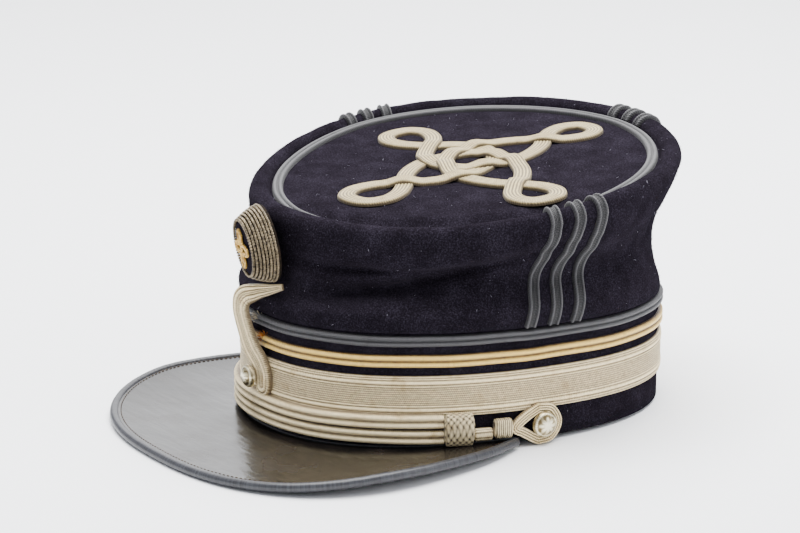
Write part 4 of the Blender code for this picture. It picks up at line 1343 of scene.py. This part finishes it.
def collar_rows(start, length, middle, height, thickness, side, steps, count, bump):
    """Rows round a rounded block along the band, raised by a pattern of (share along, share round)."""
    rows = []
    for i in range(steps + 1):
        along = i / steps
        turn = side * turn_at(start + length * along)
        out = outward(turn)
        ease = min(1.0, math.sin(math.pi * (0.04 + 0.92 * along)) * 3) ** 0.5
        row = []
        for k in range(count):
            angle = 2 * math.pi * k / count
            swell = (1 + bump(along, k / count)) * ease
            across = power(math.cos(angle), 0.7) * height / 2 * swell
            level = power(math.sin(angle), 0.7) * thickness / 2 * swell
            row.append(band_point(turn, middle + across, cord_out() + thickness / 2) + out * level)
        rows.append(row)
    return rows


def basket(along, around):
    """Height of a woven basket pattern of crossing strands."""
    a = along * 5.0 + around * 11.0
    b = along * 5.0 - around * 11.0
    best = -1.0
    for first, second in ((a, b), (b, a + 1)):
        line = round(first)
        ridge = math.cos(math.pi * (first - line))
        weave = math.cos(math.pi * (second + line))
        best = max(best, ridge * 0.65 + weave * 0.35)
    return best * 0.05


def wound(along, around):
    """Height of thread wound round and round."""
    return abs(math.sin(math.pi * (along * 9 + around))) * 0.06 - 0.03


def plain_ribs(along, around):
    """Height of a soft cord's own ribs, the same all along it."""
    return abs(math.sin(math.pi * around * 10)) * 0.05 - 0.02


def make_collar(name, start, length, middle, height, thickness, side, steps, count, bump):
    """Slide, whipping or single strand round the chin cord, with its relief."""
    rows = collar_rows(start, length, middle, height, thickness, side, steps, count, bump)
    heights = [bump(i / steps, k / count) for i in range(steps + 1) for k in range(count)]
    low, high = min(heights), max(heights)
    relief = [(value - low) / (high - low) for value in heights]
    across = [k / count * (height + thickness) * 2 for k in range(count + 1)]
    along = [length * i / steps for i in range(steps + 2)]
    return build_mesh(name, rows, False, True, True, across, along, relief)


def loop_height():
    """Height of the side button's centre."""
    return CORD_LOW + CORD_WIDTH / 2 + LOOP_LIFT


def make_loop(side):
    """Flat ribbed braid round the side button, drawn to a point at the whipping."""
    outline = ((0.856, -0.10), (0.62, -0.42), (0.22, -0.92))
    points = [Vector((-ahead * LOOP_REACH, rise * LOOP_RISE, 0)) for ahead, rise in outline]
    for degrees in (-100, -55, 0, 55, 100):
        angle = math.radians(degrees)
        points.append(Vector((LOOP_BACK * math.cos(angle), LOOP_RISE * math.sin(angle), 0)))
    points += [Vector((-ahead * LOOP_REACH, -rise * LOOP_RISE, 0)) for ahead, rise in reversed(outline[1:])]
    line = smooth(points, 10, True)
    button = distance_at(SIDE_BUTTON_TURN)
    frames = []
    for i, place in enumerate(line):
        ahead = (line[(i + 1) % len(line)] - line[i - 1]).normalized()
        turn = side * turn_at(button + place.x)
        out = outward(turn)
        level = Vector((-out.y, out.x, 0)) * side
        here = band_point(turn, loop_height() + place.y, cord_out())
        frames.append((here, level * ahead.y - Vector((0, 0, 1)) * ahead.x, out))
    word = "left" if side > 0 else "right"
    return sweep(f"ribbed_loop_{word}", frames, ribbed(LOOP_WIDTH, LOOP_THICKNESS, LOOP_RIBS, 0.5), True)


def facing(point, out, nod=0.0):
    """Matrix that puts a turned piece's axis along a direction out of the wall."""
    turn = out.to_track_quat("Z", "Y").to_matrix().to_4x4()
    return Matrix.Translation(point) @ turn @ Matrix.Rotation(nod, 4, "X")


def make_button(name, diameter, standoff, matrix):
    """Domed button, stamped with plain petals inside a beaded rim, on its shank."""
    radius = diameter / 2
    look = bpy.context.scene.kepi_cord
    rings = 26
    count = 96
    rows = []
    relief = []
    for i in range(rings + 1):
        share = i / rings
        row = []
        for turn in turns(count):
            petal = abs(math.cos(turn * look.petals / 2)) ** 0.6
            within = math.sin(math.pi * min(1.0, share / (PETAL_FOOT + PETAL_REACH * petal)))
            if share >= PETAL_FOOT + PETAL_REACH:
                within = 0.0
            heart = math.exp(-(share / HEART_SPREAD) ** 2)
            rim = math.exp(-((share - BEADS_PLACE) / BEADS_SPREAD) ** 2) * (0.7 + 0.3 * math.cos(turn * BEADS))
            stamp = max(0.0, within) * 0.5 + heart * 0.6 + rim * 0.8
            level = standoff + BUTTON_RIM + BUTTON_DOME * (1 - share ** 2.4) * 0.85 + stamp * STAMP_DEPTH
            out = radius * share
            row.append(matrix @ Vector((out * math.cos(turn), out * math.sin(turn), level)))
            relief.append(min(1.0, stamp))
        rows.append(row)
    for out, level in ((radius, standoff), (SHANK_DIAMETER / 2, standoff), (SHANK_DIAMETER / 2, 0), (0, 0)):
        rows.append(ring_points(matrix, out, level, count))
        relief += [0.2] * count
    return build_mesh(name, rows, False, True, False, None, None, relief)


def cockade_matrix():
    """Place of the cockade on the front of the crown."""
    up = (COCKADE_HEIGHT - BAND_HEIGHT) / (roll_point(0.0, 0.0).z - BAND_HEIGHT)
    wall = mix(band_point(0.0, BAND_HEIGHT + GAP), roll_point(0.0, 0.0), up)
    wall += outward(0.0) * solid_swell(up)
    place = wall + Vector((COCKADE_ASIDE, -COCKADE_STANDOFF, 0))
    level = Vector((-math.sin(COCKADE_TURN), -math.cos(COCKADE_TURN), 0))
    axis = level * math.cos(COCKADE_NOD) - Vector((0, 0, math.sin(COCKADE_NOD)))
    return facing(place, axis)


def solid_swell(up):
    """Swell of the solid crown's wall at the front, which the cockade was set against."""
    low, high = next(pair for pair in zip(CROWN_ROWS, CROWN_ROWS[1:]) if up <= pair[1][0])
    swell = mix(low[1], high[1], (up - low[0]) / (high[0] - low[0]))
    for fold in FOLDS[:6]:
        swell += fold_depth(0.0, up, *fold)
    return PUFF * swell


def ring_points(matrix, radius, level, count=96):
    """Circle of points about a matrix's axis."""
    return [matrix @ Vector((radius * math.cos(turn), radius * math.sin(turn), level)) for turn in turns(count)]


def make_cockade_body(matrix):
    """Cone under the cockade's windings."""
    foot = COCKADE_DIAMETER / 2
    face = COCKADE_FACE_DIAMETER / 2
    floor = COCKADE_DEPTH - COCKADE_WELL
    profile = [(0, 0), (foot * 0.95, 0), (foot - 0.0010, COCKADE_DEPTH * 0.12),
               (face - 0.0012, COCKADE_DEPTH * 0.92), (face - COCKADE_RIM, floor), (0, floor)]
    rows = [ring_points(matrix, radius, level) for radius, level in profile]
    return build_mesh("cockade_core", rows, False, True)


def make_windings(matrix):
    """Rows of twisted cord wound up the cockade, and the beaded purl round its face."""
    look = bpy.context.scene.kepi_cockade
    foot = COCKADE_DIAMETER / 2
    face = COCKADE_FACE_DIAMETER / 2
    made = []
    for i in range(look.rows):
        share = (i + 0.5) / look.rows
        bow = math.sin(math.pi * share) * 0.0006
        radius = mix(foot - 0.0008, face - 0.0004, share) + bow
        level = mix(COCKADE_DEPTH * 0.08, COCKADE_DEPTH * 0.93, share)
        path = path_mesh("row", ring_points(matrix, radius, level), True)
        made.append(grown(f"winding_{i}", path, "cord", finish("purl"), strands=2, strand_radius=look.wire / 2,
                          spread=look.wire * 0.46, pitch=look.twist, step=0.0004))
    path = path_mesh("rim", ring_points(matrix, face - COCKADE_RIM * 0.6, COCKADE_DEPTH - 0.0002), True)
    made.append(grown("purl_rim", path, "row", finish("purl"), pitch=0.0013, length=0.0013, thickness=0.0015))
    return joined("cockade_windings", made)


def motif_points(matrix, spread, level, count=160):
    """Line of the quatrefoil on the cockade's face."""
    found = []
    for turn in turns(count):
        radius = spread * (0.66 + 0.34 * math.cos(4 * turn))
        found.append(matrix @ Vector((radius * math.cos(turn), radius * math.sin(turn), level)))
    return found


def make_motif(matrix):
    """Quatrefoil and its heart worked in gold bullion."""
    level = COCKADE_DEPTH - COCKADE_WELL + GAP * 2 + FACE_THICKNESS + MOTIF_WIRE / 2
    gold = finish("bullion")
    made = []
    for number, spread in enumerate((MOTIF_SPREAD, MOTIF_SPREAD * 0.72)):
        path = path_mesh("motif", motif_points(matrix, spread, level - number * 0.0002), True)
        made.append(grown(f"motif_{number}", path, "cord", gold, strands=3, strand_radius=MOTIF_WIRE * 0.22,
                          spread=MOTIF_WIRE * 0.26, pitch=0.0022, step=0.0003))
    path = path_mesh("heart", ring_points(matrix, 0.0011, level, 24), True)
    made.append(grown("motif_heart", path, "row", gold, pitch=0.0009, length=0.0012, thickness=0.0012))
    return joined("gold_quatrefoil", made)


def make_face(matrix):
    """Black cloth of the cockade's face."""
    radius = COCKADE_FACE_DIAMETER / 2 - COCKADE_RIM - GAP
    floor = COCKADE_DEPTH - COCKADE_WELL + GAP
    profile = [(0, floor), (radius, floor), (radius, floor + FACE_THICKNESS * 0.7),
               (radius * 0.9, floor + FACE_THICKNESS), (0, floor + FACE_THICKNESS)]
    rows = [ring_points(matrix, out, level, 64) for out, level in profile]
    return build_mesh("cockade_cloth", rows, False, True)


def strap_centre():
    """Middle line of the doubled strap, with its distance from the wall in it."""
    high = COCKADE_HEIGHT - COCKADE_DIAMETER / 2
    points = []
    for up, aside, bulge, _ in STRAP_ROWS:
        height = mix(FRONT_BUTTON_HEIGHT, high, up)
        turn = turn_at(aside * STRAP_WIDTH)
        out = cord_out() + (BRAID_THICKNESS - LACE_THICKNESS + STRAP_BULGE) * bulge
        if height <= BAND_HEIGHT:
            points.append(band_point(turn, height, out))
        else:
            share = (height - BAND_HEIGHT) / (roll_point(turn, 0.0).z - BAND_HEIGHT)
            points.append(crown_point(turn, min(1.0, share)) + outward(turn) * out)
    return smooth(points, 6)


def make_strap():
    """Two silver cords side by side, joined in a bend under the front button."""
    line = strap_centre()
    widths = smooth([Vector((row[3], 0, 0)) for row in STRAP_ROWS], 6)
    half = STRAP_WIDTH / 4
    sides = {-1: [], 1: []}
    for i, place in enumerate(line):
        ahead = (line[min(i + 1, len(line) - 1)] - line[max(i - 1, 0)]).normalized()
        across = Vector((0, -1, 0)).cross(ahead).normalized()
        for side in sides:
            sides[side].append((place + across * half * side * widths[i].x, widths[i].x))
    bend = []
    end = line[-1]
    down = (line[-1] - line[-3]).normalized()
    across = Vector((0, -1, 0)).cross(down).normalized()
    for i in range(1, 10):
        angle = math.pi * i / 10
        bend.append((end + across * half * -math.cos(angle) + down * half * math.sin(angle), 1.0))
    course = sides[-1] + bend + list(reversed(sides[1]))
    points = smooth([place for place, _ in course], 2)
    shares = smooth([Vector((width, 0, 0)) for _, width in course], 2)
    frames = []
    for i, place in enumerate(points):
        ahead = (points[min(i + 1, len(points) - 1)] - points[max(i - 1, 0)]).normalized()
        side = Vector((0, -1, 0)).cross(ahead).normalized()
        frames.append((place, side * shares[i].x, ahead.cross(side).normalized() * mix(0.6, 1.0, shares[i].x)))
    return sweep("strap_cords", frames, ribbed(STRAP_WIDTH / 2, STRAP_THICKNESS, STRAP_RIBS, 0.5), False)


def fray(name, place, out, aside, length, count):
    """Tuft of frayed threads that spreads from a place."""
    made = []
    for i in range(count):
        spin = Vector((noise.noise(Vector((i * 1.7, 0.3, 2.1))), noise.noise(Vector((0.4, i * 2.3, 5.7))),
                       noise.noise(Vector((3.1, 7.7, i * 1.3)))))
        tip = place + (out * 0.45 + aside + spin * 1.6) * length
        middle = mix(place, tip, 0.5) + out * length * 0.25 + spin * length * 0.5
        points = smooth([place + spin * length * 0.25, middle, tip], 5)
        frames = tube_frames(points)
        made.append(sweep(name, frames, round_section(0.00013, 4), False))
    return joined(name, made)


def make_frays():
    """Frayed ends of the grey and the gold braid beside the strap."""
    made = []
    out = outward(0.0)
    aside = Vector((-out.y, out.x, 0))
    grey = band_point(turn_at(-0.0045), GREY_LOW + GREY_WIDTH * 0.7, BRAID_THICKNESS * 0.5)
    gold = band_point(turn_at(0.0005), GOLD_LOW + GOLD_WIDTH * 0.9, BRAID_THICKNESS * 0.5)
    made.append((fray("grey_fray", grey, out, -aside * 0.8, 0.0030, 26), "fray", "silver_lace"))
    made.append((fray("gold_fray", gold, out, -aside * 0.8, 0.0028, 30), "rust", "gold_braid"))
    return made


def make_stitches():
    """Stitches through the peak, just inside its rolled edge."""
    points = []
    for i in range(221):
        share = (2 * i / 220 - 1) * 0.97
        point = peak_inset(share, BINDING_DIAMETER + 0.0009)
        point.z = peak_height(point) + PEAK_THICKNESS / 2 + 0.0001
        points.append(point)
    look = bpy.context.scene.kepi_peak
    path = path_mesh("stitch_line", points)
    return grown("peak_stitches", path, "row", finish("stitch"), pitch=look.stitch_pitch,
                 length=look.stitch_pitch * 0.66, thickness=0.0005)


def make_seam():
    """Narrow welt where the peak is sewn to the band."""
    points = []
    for i in range(181):
        share = 2 * i / 180 - 1
        place = band_point(turn_at(peak_end() * share), 0, GAP + 0.0005)
        place.z = peak_height(place) + PEAK_THICKNESS / 2 + 0.0002
        points.append(place)
    return sweep("peak_welt", tube_frames(points), round_section(0.0006, 8), False)


def fibre_base(name, wanted):
    """Copy of a finished cloth piece's mesh, with only the faces whose middle and normal pass the test."""
    mesh = bpy.data.objects[name].data.copy()
    shape = bmesh.new()
    shape.from_mesh(mesh)
    gone = [face for face in shape.faces if not wanted(face.calc_center_median(), face.normal)]
    bmesh.ops.delete(shape, geom=gone, context="FACES")
    shape.to_mesh(mesh)
    shape.free()
    return mesh


# Settings

class KepiCloth(bpy.types.PropertyGroup):
    """Wool cloth of the band, crown and top."""

    cloth_hex: bpy.props.StringProperty(name="Cloth", description="Colour of the cloth", default="#17141a")
    # The next two colours are painted shade in the hollows of the nap and a painted highlight on its raised
    # tufts
    nap_shade_hex: bpy.props.StringProperty(name="Deep", description="Colour in the hollows of the nap",
                                       default="#0c0a0d")
    rubbed_and_lit_hex: bpy.props.StringProperty(name="Worn", description="Colour of the raised nap", default="#2d2932")
    lint_hex: bpy.props.StringProperty(name="Lint", description="Colour of the lint", default="#77747f")
    # Tufts and fibres are drawn coarser and fewer than real ones, which are finer than a pixel of the picture
    nap_size: bpy.props.FloatProperty(name="Nap", description="Size of a tuft of nap", default=0.0007,
                                      unit="LENGTH", precision=5)
    lint_spacing: bpy.props.FloatProperty(name="Lint spacing", description="Distance between specks of lint",
                                          default=0.0045, unit="LENGTH", precision=5)
    nap_density: bpy.props.FloatProperty(name="Fibres", description="Raised fibres on a square metre",
                                         default=220000.0)


class KepiBraid(bpy.types.PropertyGroup):
    """Lace, braids and knot."""

    silver_hex: bpy.props.StringProperty(name="Silver", description="Colour of the silver lace",
                                         default="#fae6b6")
    knot_hex: bpy.props.StringProperty(name="Knot", description="Colour of the knot on the top",
                                       default="#cbb880")
    gold_hex: bpy.props.StringProperty(name="Gold", description="Colour of the gold braid", default="#f0ca68")
    grey_hex: bpy.props.StringProperty(name="Grey", description="Colour of the grey braid", default="#3e3d3f")
    # Drawn coarser than real turns of metal thread, which are finer than a pixel of the picture
    thread: bpy.props.FloatProperty(name="Thread", description="Distance between turns of thread",
                                    default=0.0009, unit="LENGTH", precision=5)


class KepiPeak(bpy.types.PropertyGroup):
    """Patent peak and its rolled edge."""

    leather_hex: bpy.props.StringProperty(name="Leather", description="Colour of the leather",
                                          default="#0c0b0b")
    # Colour of real wear where the peak is rubbed; no light is painted on the peak
    rubbed_and_lit_hex: bpy.props.StringProperty(name="Worn", description="Colour where it is rubbed", default="#1d1815")
    ripple_size: bpy.props.FloatProperty(name="Ripples", description="Size of the varnish's ripples",
                                         default=0.0050, unit="LENGTH", precision=5)
    craze_size: bpy.props.FloatProperty(name="Crazing", description="Size of one plate of the crazing",
                                        default=0.0022, unit="LENGTH", precision=5)
    stitch_pitch: bpy.props.FloatProperty(name="Stitches", description="Distance from stitch to stitch",
                                          default=0.0024, unit="LENGTH", precision=5)


class KepiCord(bpy.types.PropertyGroup):
    """Chin cord and buttons."""

    petals: bpy.props.IntProperty(name="Petals", description="Petals stamped on a button", default=8, min=3)


class KepiCockade(bpy.types.PropertyGroup):
    """Wound cockade."""

    rows: bpy.props.IntProperty(name="Rows", description="Rows of twisted cord", default=7, min=1)
    wire: bpy.props.FloatProperty(name="Wire", description="Thickness of one strand", default=0.00068,
                                  unit="LENGTH", precision=5)
    twist: bpy.props.FloatProperty(name="Twist", description="Length of one turn of the twist", default=0.0026,
                                   unit="LENGTH", precision=5)


class KepiStage(bpy.types.PropertyGroup):
    """Floor and light."""

    floor_hex: bpy.props.StringProperty(name="Floor", description="Colour of the floor", default="#f2f3f5")
    key: bpy.props.FloatProperty(name="Key light", description="Power of the soft light above", default=120.0)
    fill: bpy.props.FloatProperty(name="Surroundings", description="Strength of the light all round",
                                  default=1.0)


SETTINGS = (
    ("kepi_cloth", KepiCloth),
    ("kepi_braid", KepiBraid),
    ("kepi_peak", KepiPeak),
    ("kepi_cord", KepiCord),
    ("kepi_cockade", KepiCockade),
    ("kepi_stage", KepiStage),
)


# Operators

class KEPI_OT_cloth(bpy.types.Operator):
    """Build the band, the soft crown and the sunk top in wool"""

    bl_idname = "kepi.cloth"
    bl_label = "Cloth"

    def execute(self, context):
        wool = finish("wool")
        add_piece("band_cloth", make_band(), wool, ("band",))
        add_piece("crown_cloth", make_crown(), wool, ("crown_side",))
        add_piece("top_cloth", make_top(), wool, ("top_disc",))
        return {"FINISHED"}


class KEPI_OT_fibres(bpy.types.Operator):
    """Raise a nap on the cloth and scatter lint over it"""

    bl_idname = "kepi.fibres"
    bl_label = "Nap and lint"

    def execute(self, context):
        look = context.scene.kepi_cloth
        floor = CAD_BOX[0][2] + BAND_HEIGHT

        def outside(middle, normal):
            """Whether a face of the crown shows from outside."""
            return middle.z > floor and (normal.z > 0.3 or normal.xy.dot(middle.xy) > 0)

        base = fibre_base("crown_cloth", outside)
        mesh = grown("crown_nap", base, "fibre", finish("nap"), density=look.nap_density, length=0.0009,
                     thickness=0.00006, lay=0.9, seed=2)
        add_piece("crown_nap", mesh, finish("nap"))
        base = joined("lint_base", [fibre_base("crown_cloth", outside),
                                    fibre_base("top_cloth", lambda middle, normal: normal.z > 0.5)])
        mesh = grown("lint", base, "fibre", finish("lint"), density=4200.0, length=0.0013,
                     thickness=0.00008, lay=1.45, seed=7)
        add_piece("cloth_lint", mesh, finish("lint"))
        return {"FINISHED"}


class KEPI_OT_braids(bpy.types.Operator):
    """Sew the lace and the braids round the band, over the crown and round the top"""

    bl_idname = "kepi.braids"
    bl_label = "Lace and braids"

    def execute(self, context):
        add_piece("broad_lace", make_lace(), finish("silver"), ("lace_band",))
        gold = make_band_braid("gilt_band_braid", GOLD_LOW, GOLD_WIDTH)
        add_piece("gilt_band_braid", gold, finish("gold"), ("gold_braid",))
        grey = make_band_braid("grey_band_braid", GREY_LOW, GREY_WIDTH)
        add_piece("grey_band_braid", grey, finish("grey"), ("grey_braid",))
        add_piece("top_ring_braid", make_top_braid(), finish("grey"), ("top_braid",))
        for side in SIDE_BRAID_LEAN:
            for number in (1, 2, 3):
                name = f"grey_braid_{side}_{number}"
                add_piece(name, make_side_braid(side, number), finish("grey"),
                          (f"braid_{side}_{number}",))
        for mesh, look, slot in make_frays():
            add_piece(mesh.name, mesh, finish(look))
        return {"FINISHED"}


class KEPI_OT_knot(bpy.types.Operator):
    """Lay the four-looped knot on the top"""

    bl_idname = "kepi.knot"
    bl_label = "Top knot"

    def execute(self, context):
        add_piece("knot_braid", make_knot(), finish("knot"), ("top_knot",))
        return {"FINISHED"}


class KEPI_OT_peak(bpy.types.Operator):
    """Make the patent peak, its rolled edge, stitches and welt"""

    bl_idname = "kepi.peak"
    bl_label = "Peak"

    def execute(self, context):
        add_piece("patent_peak", make_peak(), finish("patent"), ("peak",))
        add_piece("rolled_binding", make_binding(), finish("rolled"), ("peak_binding",))
        add_piece("peak_stitches", make_stitches(), finish("stitch"))
        add_piece("peak_welt", make_seam(), finish("rolled"))
        return {"FINISHED"}


class KEPI_OT_cord(bpy.types.Operator):
    """Run the doubled chin cord round the front, with its slides, single strands, whippings and loops"""

    bl_idname = "kepi.cord"
    bl_label = "Chin cord"

    def execute(self, context):
        for number, word in enumerate(("lower", "upper")):
            add_piece(word + "_chin_braid", make_chin_cord(number), finish("silver"),
                      ("chin_cord_" + word,))
        middle = CORD_LOW + CORD_WIDTH + GAP / 2
        low = CORD_LOW + CORD_WIDTH / 2
        button = distance_at(SIDE_BUTTON_TURN)
        for side, word in ((1, "left"), (-1, "right")):
            start = button - LOOP_REACH - GAP - WHIPPING_LENGTH
            mesh = make_collar(f"wound_whipping_{word}", start, WHIPPING_LENGTH, low + GAP * 9, WHIPPING_HEIGHT,
                               WHIPPING_THICKNESS, side, 90, 48, wound)
            add_piece(mesh.name, mesh, finish("purl_thread"), ("whipping_" + word,))
            start -= GAP + STRAND_LENGTH
            mesh = make_collar(f"single_strand_{word}", start, STRAND_LENGTH, low + GAP, STRAND_WIDTH,
                               STRAND_THICKNESS, side, 20, 80, plain_ribs)
            add_piece(mesh.name, mesh, finish("silver"), ("strand_" + word,))
            start -= GAP + SLIDE_LENGTH
            mesh = make_collar(f"woven_slide_{word}", start, SLIDE_LENGTH, middle, SLIDE_HEIGHT,
                               SLIDE_THICKNESS, side, 90, 220, basket)
            add_piece(mesh.name, mesh, finish("purl_thread"), ("slide_" + word,))
            add_piece(f"ribbed_loop_{word}", make_loop(side), finish("silver"),
                      ("button_loop_" + word,))
        return {"FINISHED"}


class KEPI_OT_buttons(bpy.types.Operator):
    """Stamp the two side buttons and the front button"""

    bl_idname = "kepi.buttons"
    bl_label = "Buttons"

    def execute(self, context):
        metal = finish("button")
        for side, word in ((1, "left"), (-1, "right")):
            turn = side * SIDE_BUTTON_TURN
            matrix = facing(band_point(turn, loop_height(), GAP), outward(turn))
            mesh = make_button(f"petal_button_{word}", SIDE_BUTTON_DIAMETER, cord_out() + LOOP_THICKNESS,
                               matrix)
            add_piece(mesh.name, mesh, metal, ("side_button_" + word,))
        turn = turn_at(FRONT_BUTTON_ASIDE)
        standoff = cord_out() + STRAP_THICKNESS + 2 * GAP
        matrix = facing(band_point(turn, FRONT_BUTTON_HEIGHT, standoff), outward(turn))
        mesh = make_button("petal_button_front", FRONT_BUTTON_DIAMETER, BUTTON_RIM, matrix)
        add_piece(mesh.name, mesh, metal, ("front_button",))
        return {"FINISHED"}


class KEPI_OT_cockade(bpy.types.Operator):
    """Wind the cockade and work its face, and hang the doubled strap under it"""

    bl_idname = "kepi.cockade"
    bl_label = "Cockade and strap"

    def execute(self, context):
        matrix = cockade_matrix()
        add_piece("cockade_core", make_cockade_body(matrix), finish("core"), ("cockade",))
        add_piece("cockade_windings", make_windings(matrix), finish("purl"))
        add_piece("cockade_cloth", make_face(matrix), finish("wool"), ("cockade_face",))
        add_piece("gold_quatrefoil", make_motif(matrix), finish("bullion"), ("cockade_motif",))
        add_piece("strap_cords", make_strap(), finish("silver"), ("front_loop",))
        return {"FINISHED"}


class KEPI_OT_stage(bpy.types.Operator):
    """Set up the floor, the soft light and the camera"""

    bl_idname = "kepi.stage"
    bl_label = "Stage"

    def execute(self, context):
        look = context.scene.kepi_stage
        mesh = bpy.data.meshes.new("floor")
        far = 6.0
        mesh.from_pydata([(-far, -far, 0), (far, -far, 0), (far, far, 0), (-far, far, 0)], [], [(0, 1, 2, 3)])
        made, tree, shader = new_material("matt paper floor")
        fill(tree, shader, {"Base Color": linear(look.floor_hex), "Roughness": 0.9})
        mesh.materials.append(made)
        floor = bpy.data.objects.new("floor", mesh)
        context.scene.collection.objects.link(floor)
        world = bpy.data.worlds.new("soft studio")
        world.use_nodes = True
        sky = world.node_tree.nodes["Background"]
        sky.inputs["Color"].default_value = linear("#eceff7")
        sky.inputs["Strength"].default_value = look.fill
        context.scene.world = world
        for name, place, wide, power_share in LAMPS:
            light = bpy.data.lights.new(name, "AREA")
            light.energy = look.key * power_share
            light.size = wide
            lamp = bpy.data.objects.new(name, light)
            lamp.location = place
            lamp.rotation_euler = (LAMPS_AIM - Vector(place)).to_track_quat("-Z", "Y").to_euler()
            context.scene.collection.objects.link(lamp)
        set_camera(context)
        return {"FINISHED"}


def set_camera(context):
    """Camera where the picture was taken from."""
    level = math.cos(CAMERA_RISE)
    back = Vector((math.sin(CAMERA_TURN) * level, -math.cos(CAMERA_TURN) * level, math.sin(CAMERA_RISE)))
    right = Vector((math.cos(CAMERA_TURN), math.sin(CAMERA_TURN), 0))
    up = back.cross(right)
    place = back * CAMERA_DISTANCE + right * CAMERA_SHIFT[0] + up * CAMERA_SHIFT[1]
    matrix = Matrix((right, up, back)).transposed().to_4x4()
    matrix.translation = place
    lens = bpy.data.cameras.new("camera")
    lens.lens = LENS
    lens.sensor_width = SENSOR
    camera = bpy.data.objects.new("camera", lens)
    camera.matrix_world = STAND @ matrix
    context.scene.collection.objects.link(camera)
    context.scene.camera = camera


OPERATORS = (KEPI_OT_cloth, KEPI_OT_fibres, KEPI_OT_braids, KEPI_OT_knot, KEPI_OT_peak, KEPI_OT_cord,
             KEPI_OT_buttons, KEPI_OT_cockade, KEPI_OT_stage)


class KEPI_PT_panel(bpy.types.Panel):
    """Settings and steps of the kepi"""

    bl_idname = "KEPI_PT_panel"
    bl_label = "Kepi"
    bl_space_type = "VIEW_3D"
    bl_region_type = "UI"
    bl_category = "Kepi"

    def draw(self, context):
        for name, group in SETTINGS:
            box = self.layout.box()
            settings = getattr(context.scene, name)
            for key in group.__annotations__:
                box.prop(settings, key)
        for operator in OPERATORS:
            self.layout.operator(operator.bl_idname)


def register():
    """Register the classes, and hang the settings on the scene."""
    for name, group in SETTINGS:
        bpy.utils.register_class(group)
        setattr(bpy.types.Scene, name, bpy.props.PointerProperty(type=group))
    for kind in (*OPERATORS, KEPI_PT_panel):
        bpy.utils.register_class(kind)


def unregister():
    """Take the classes and the settings away again."""
    for kind in reversed((*OPERATORS, KEPI_PT_panel)):
        bpy.utils.unregister_class(kind)
    for name, group in reversed(SETTINGS):
        delattr(bpy.types.Scene, name)
        bpy.utils.unregister_class(group)


def main():
    """Build the whole look in order."""
    register()
    for step in ("cloth", "braids", "knot", "peak", "cord", "buttons", "cockade", "fibres", "stage"):
        getattr(bpy.ops.kepi, step)()


if __name__ == "__main__":
    main()
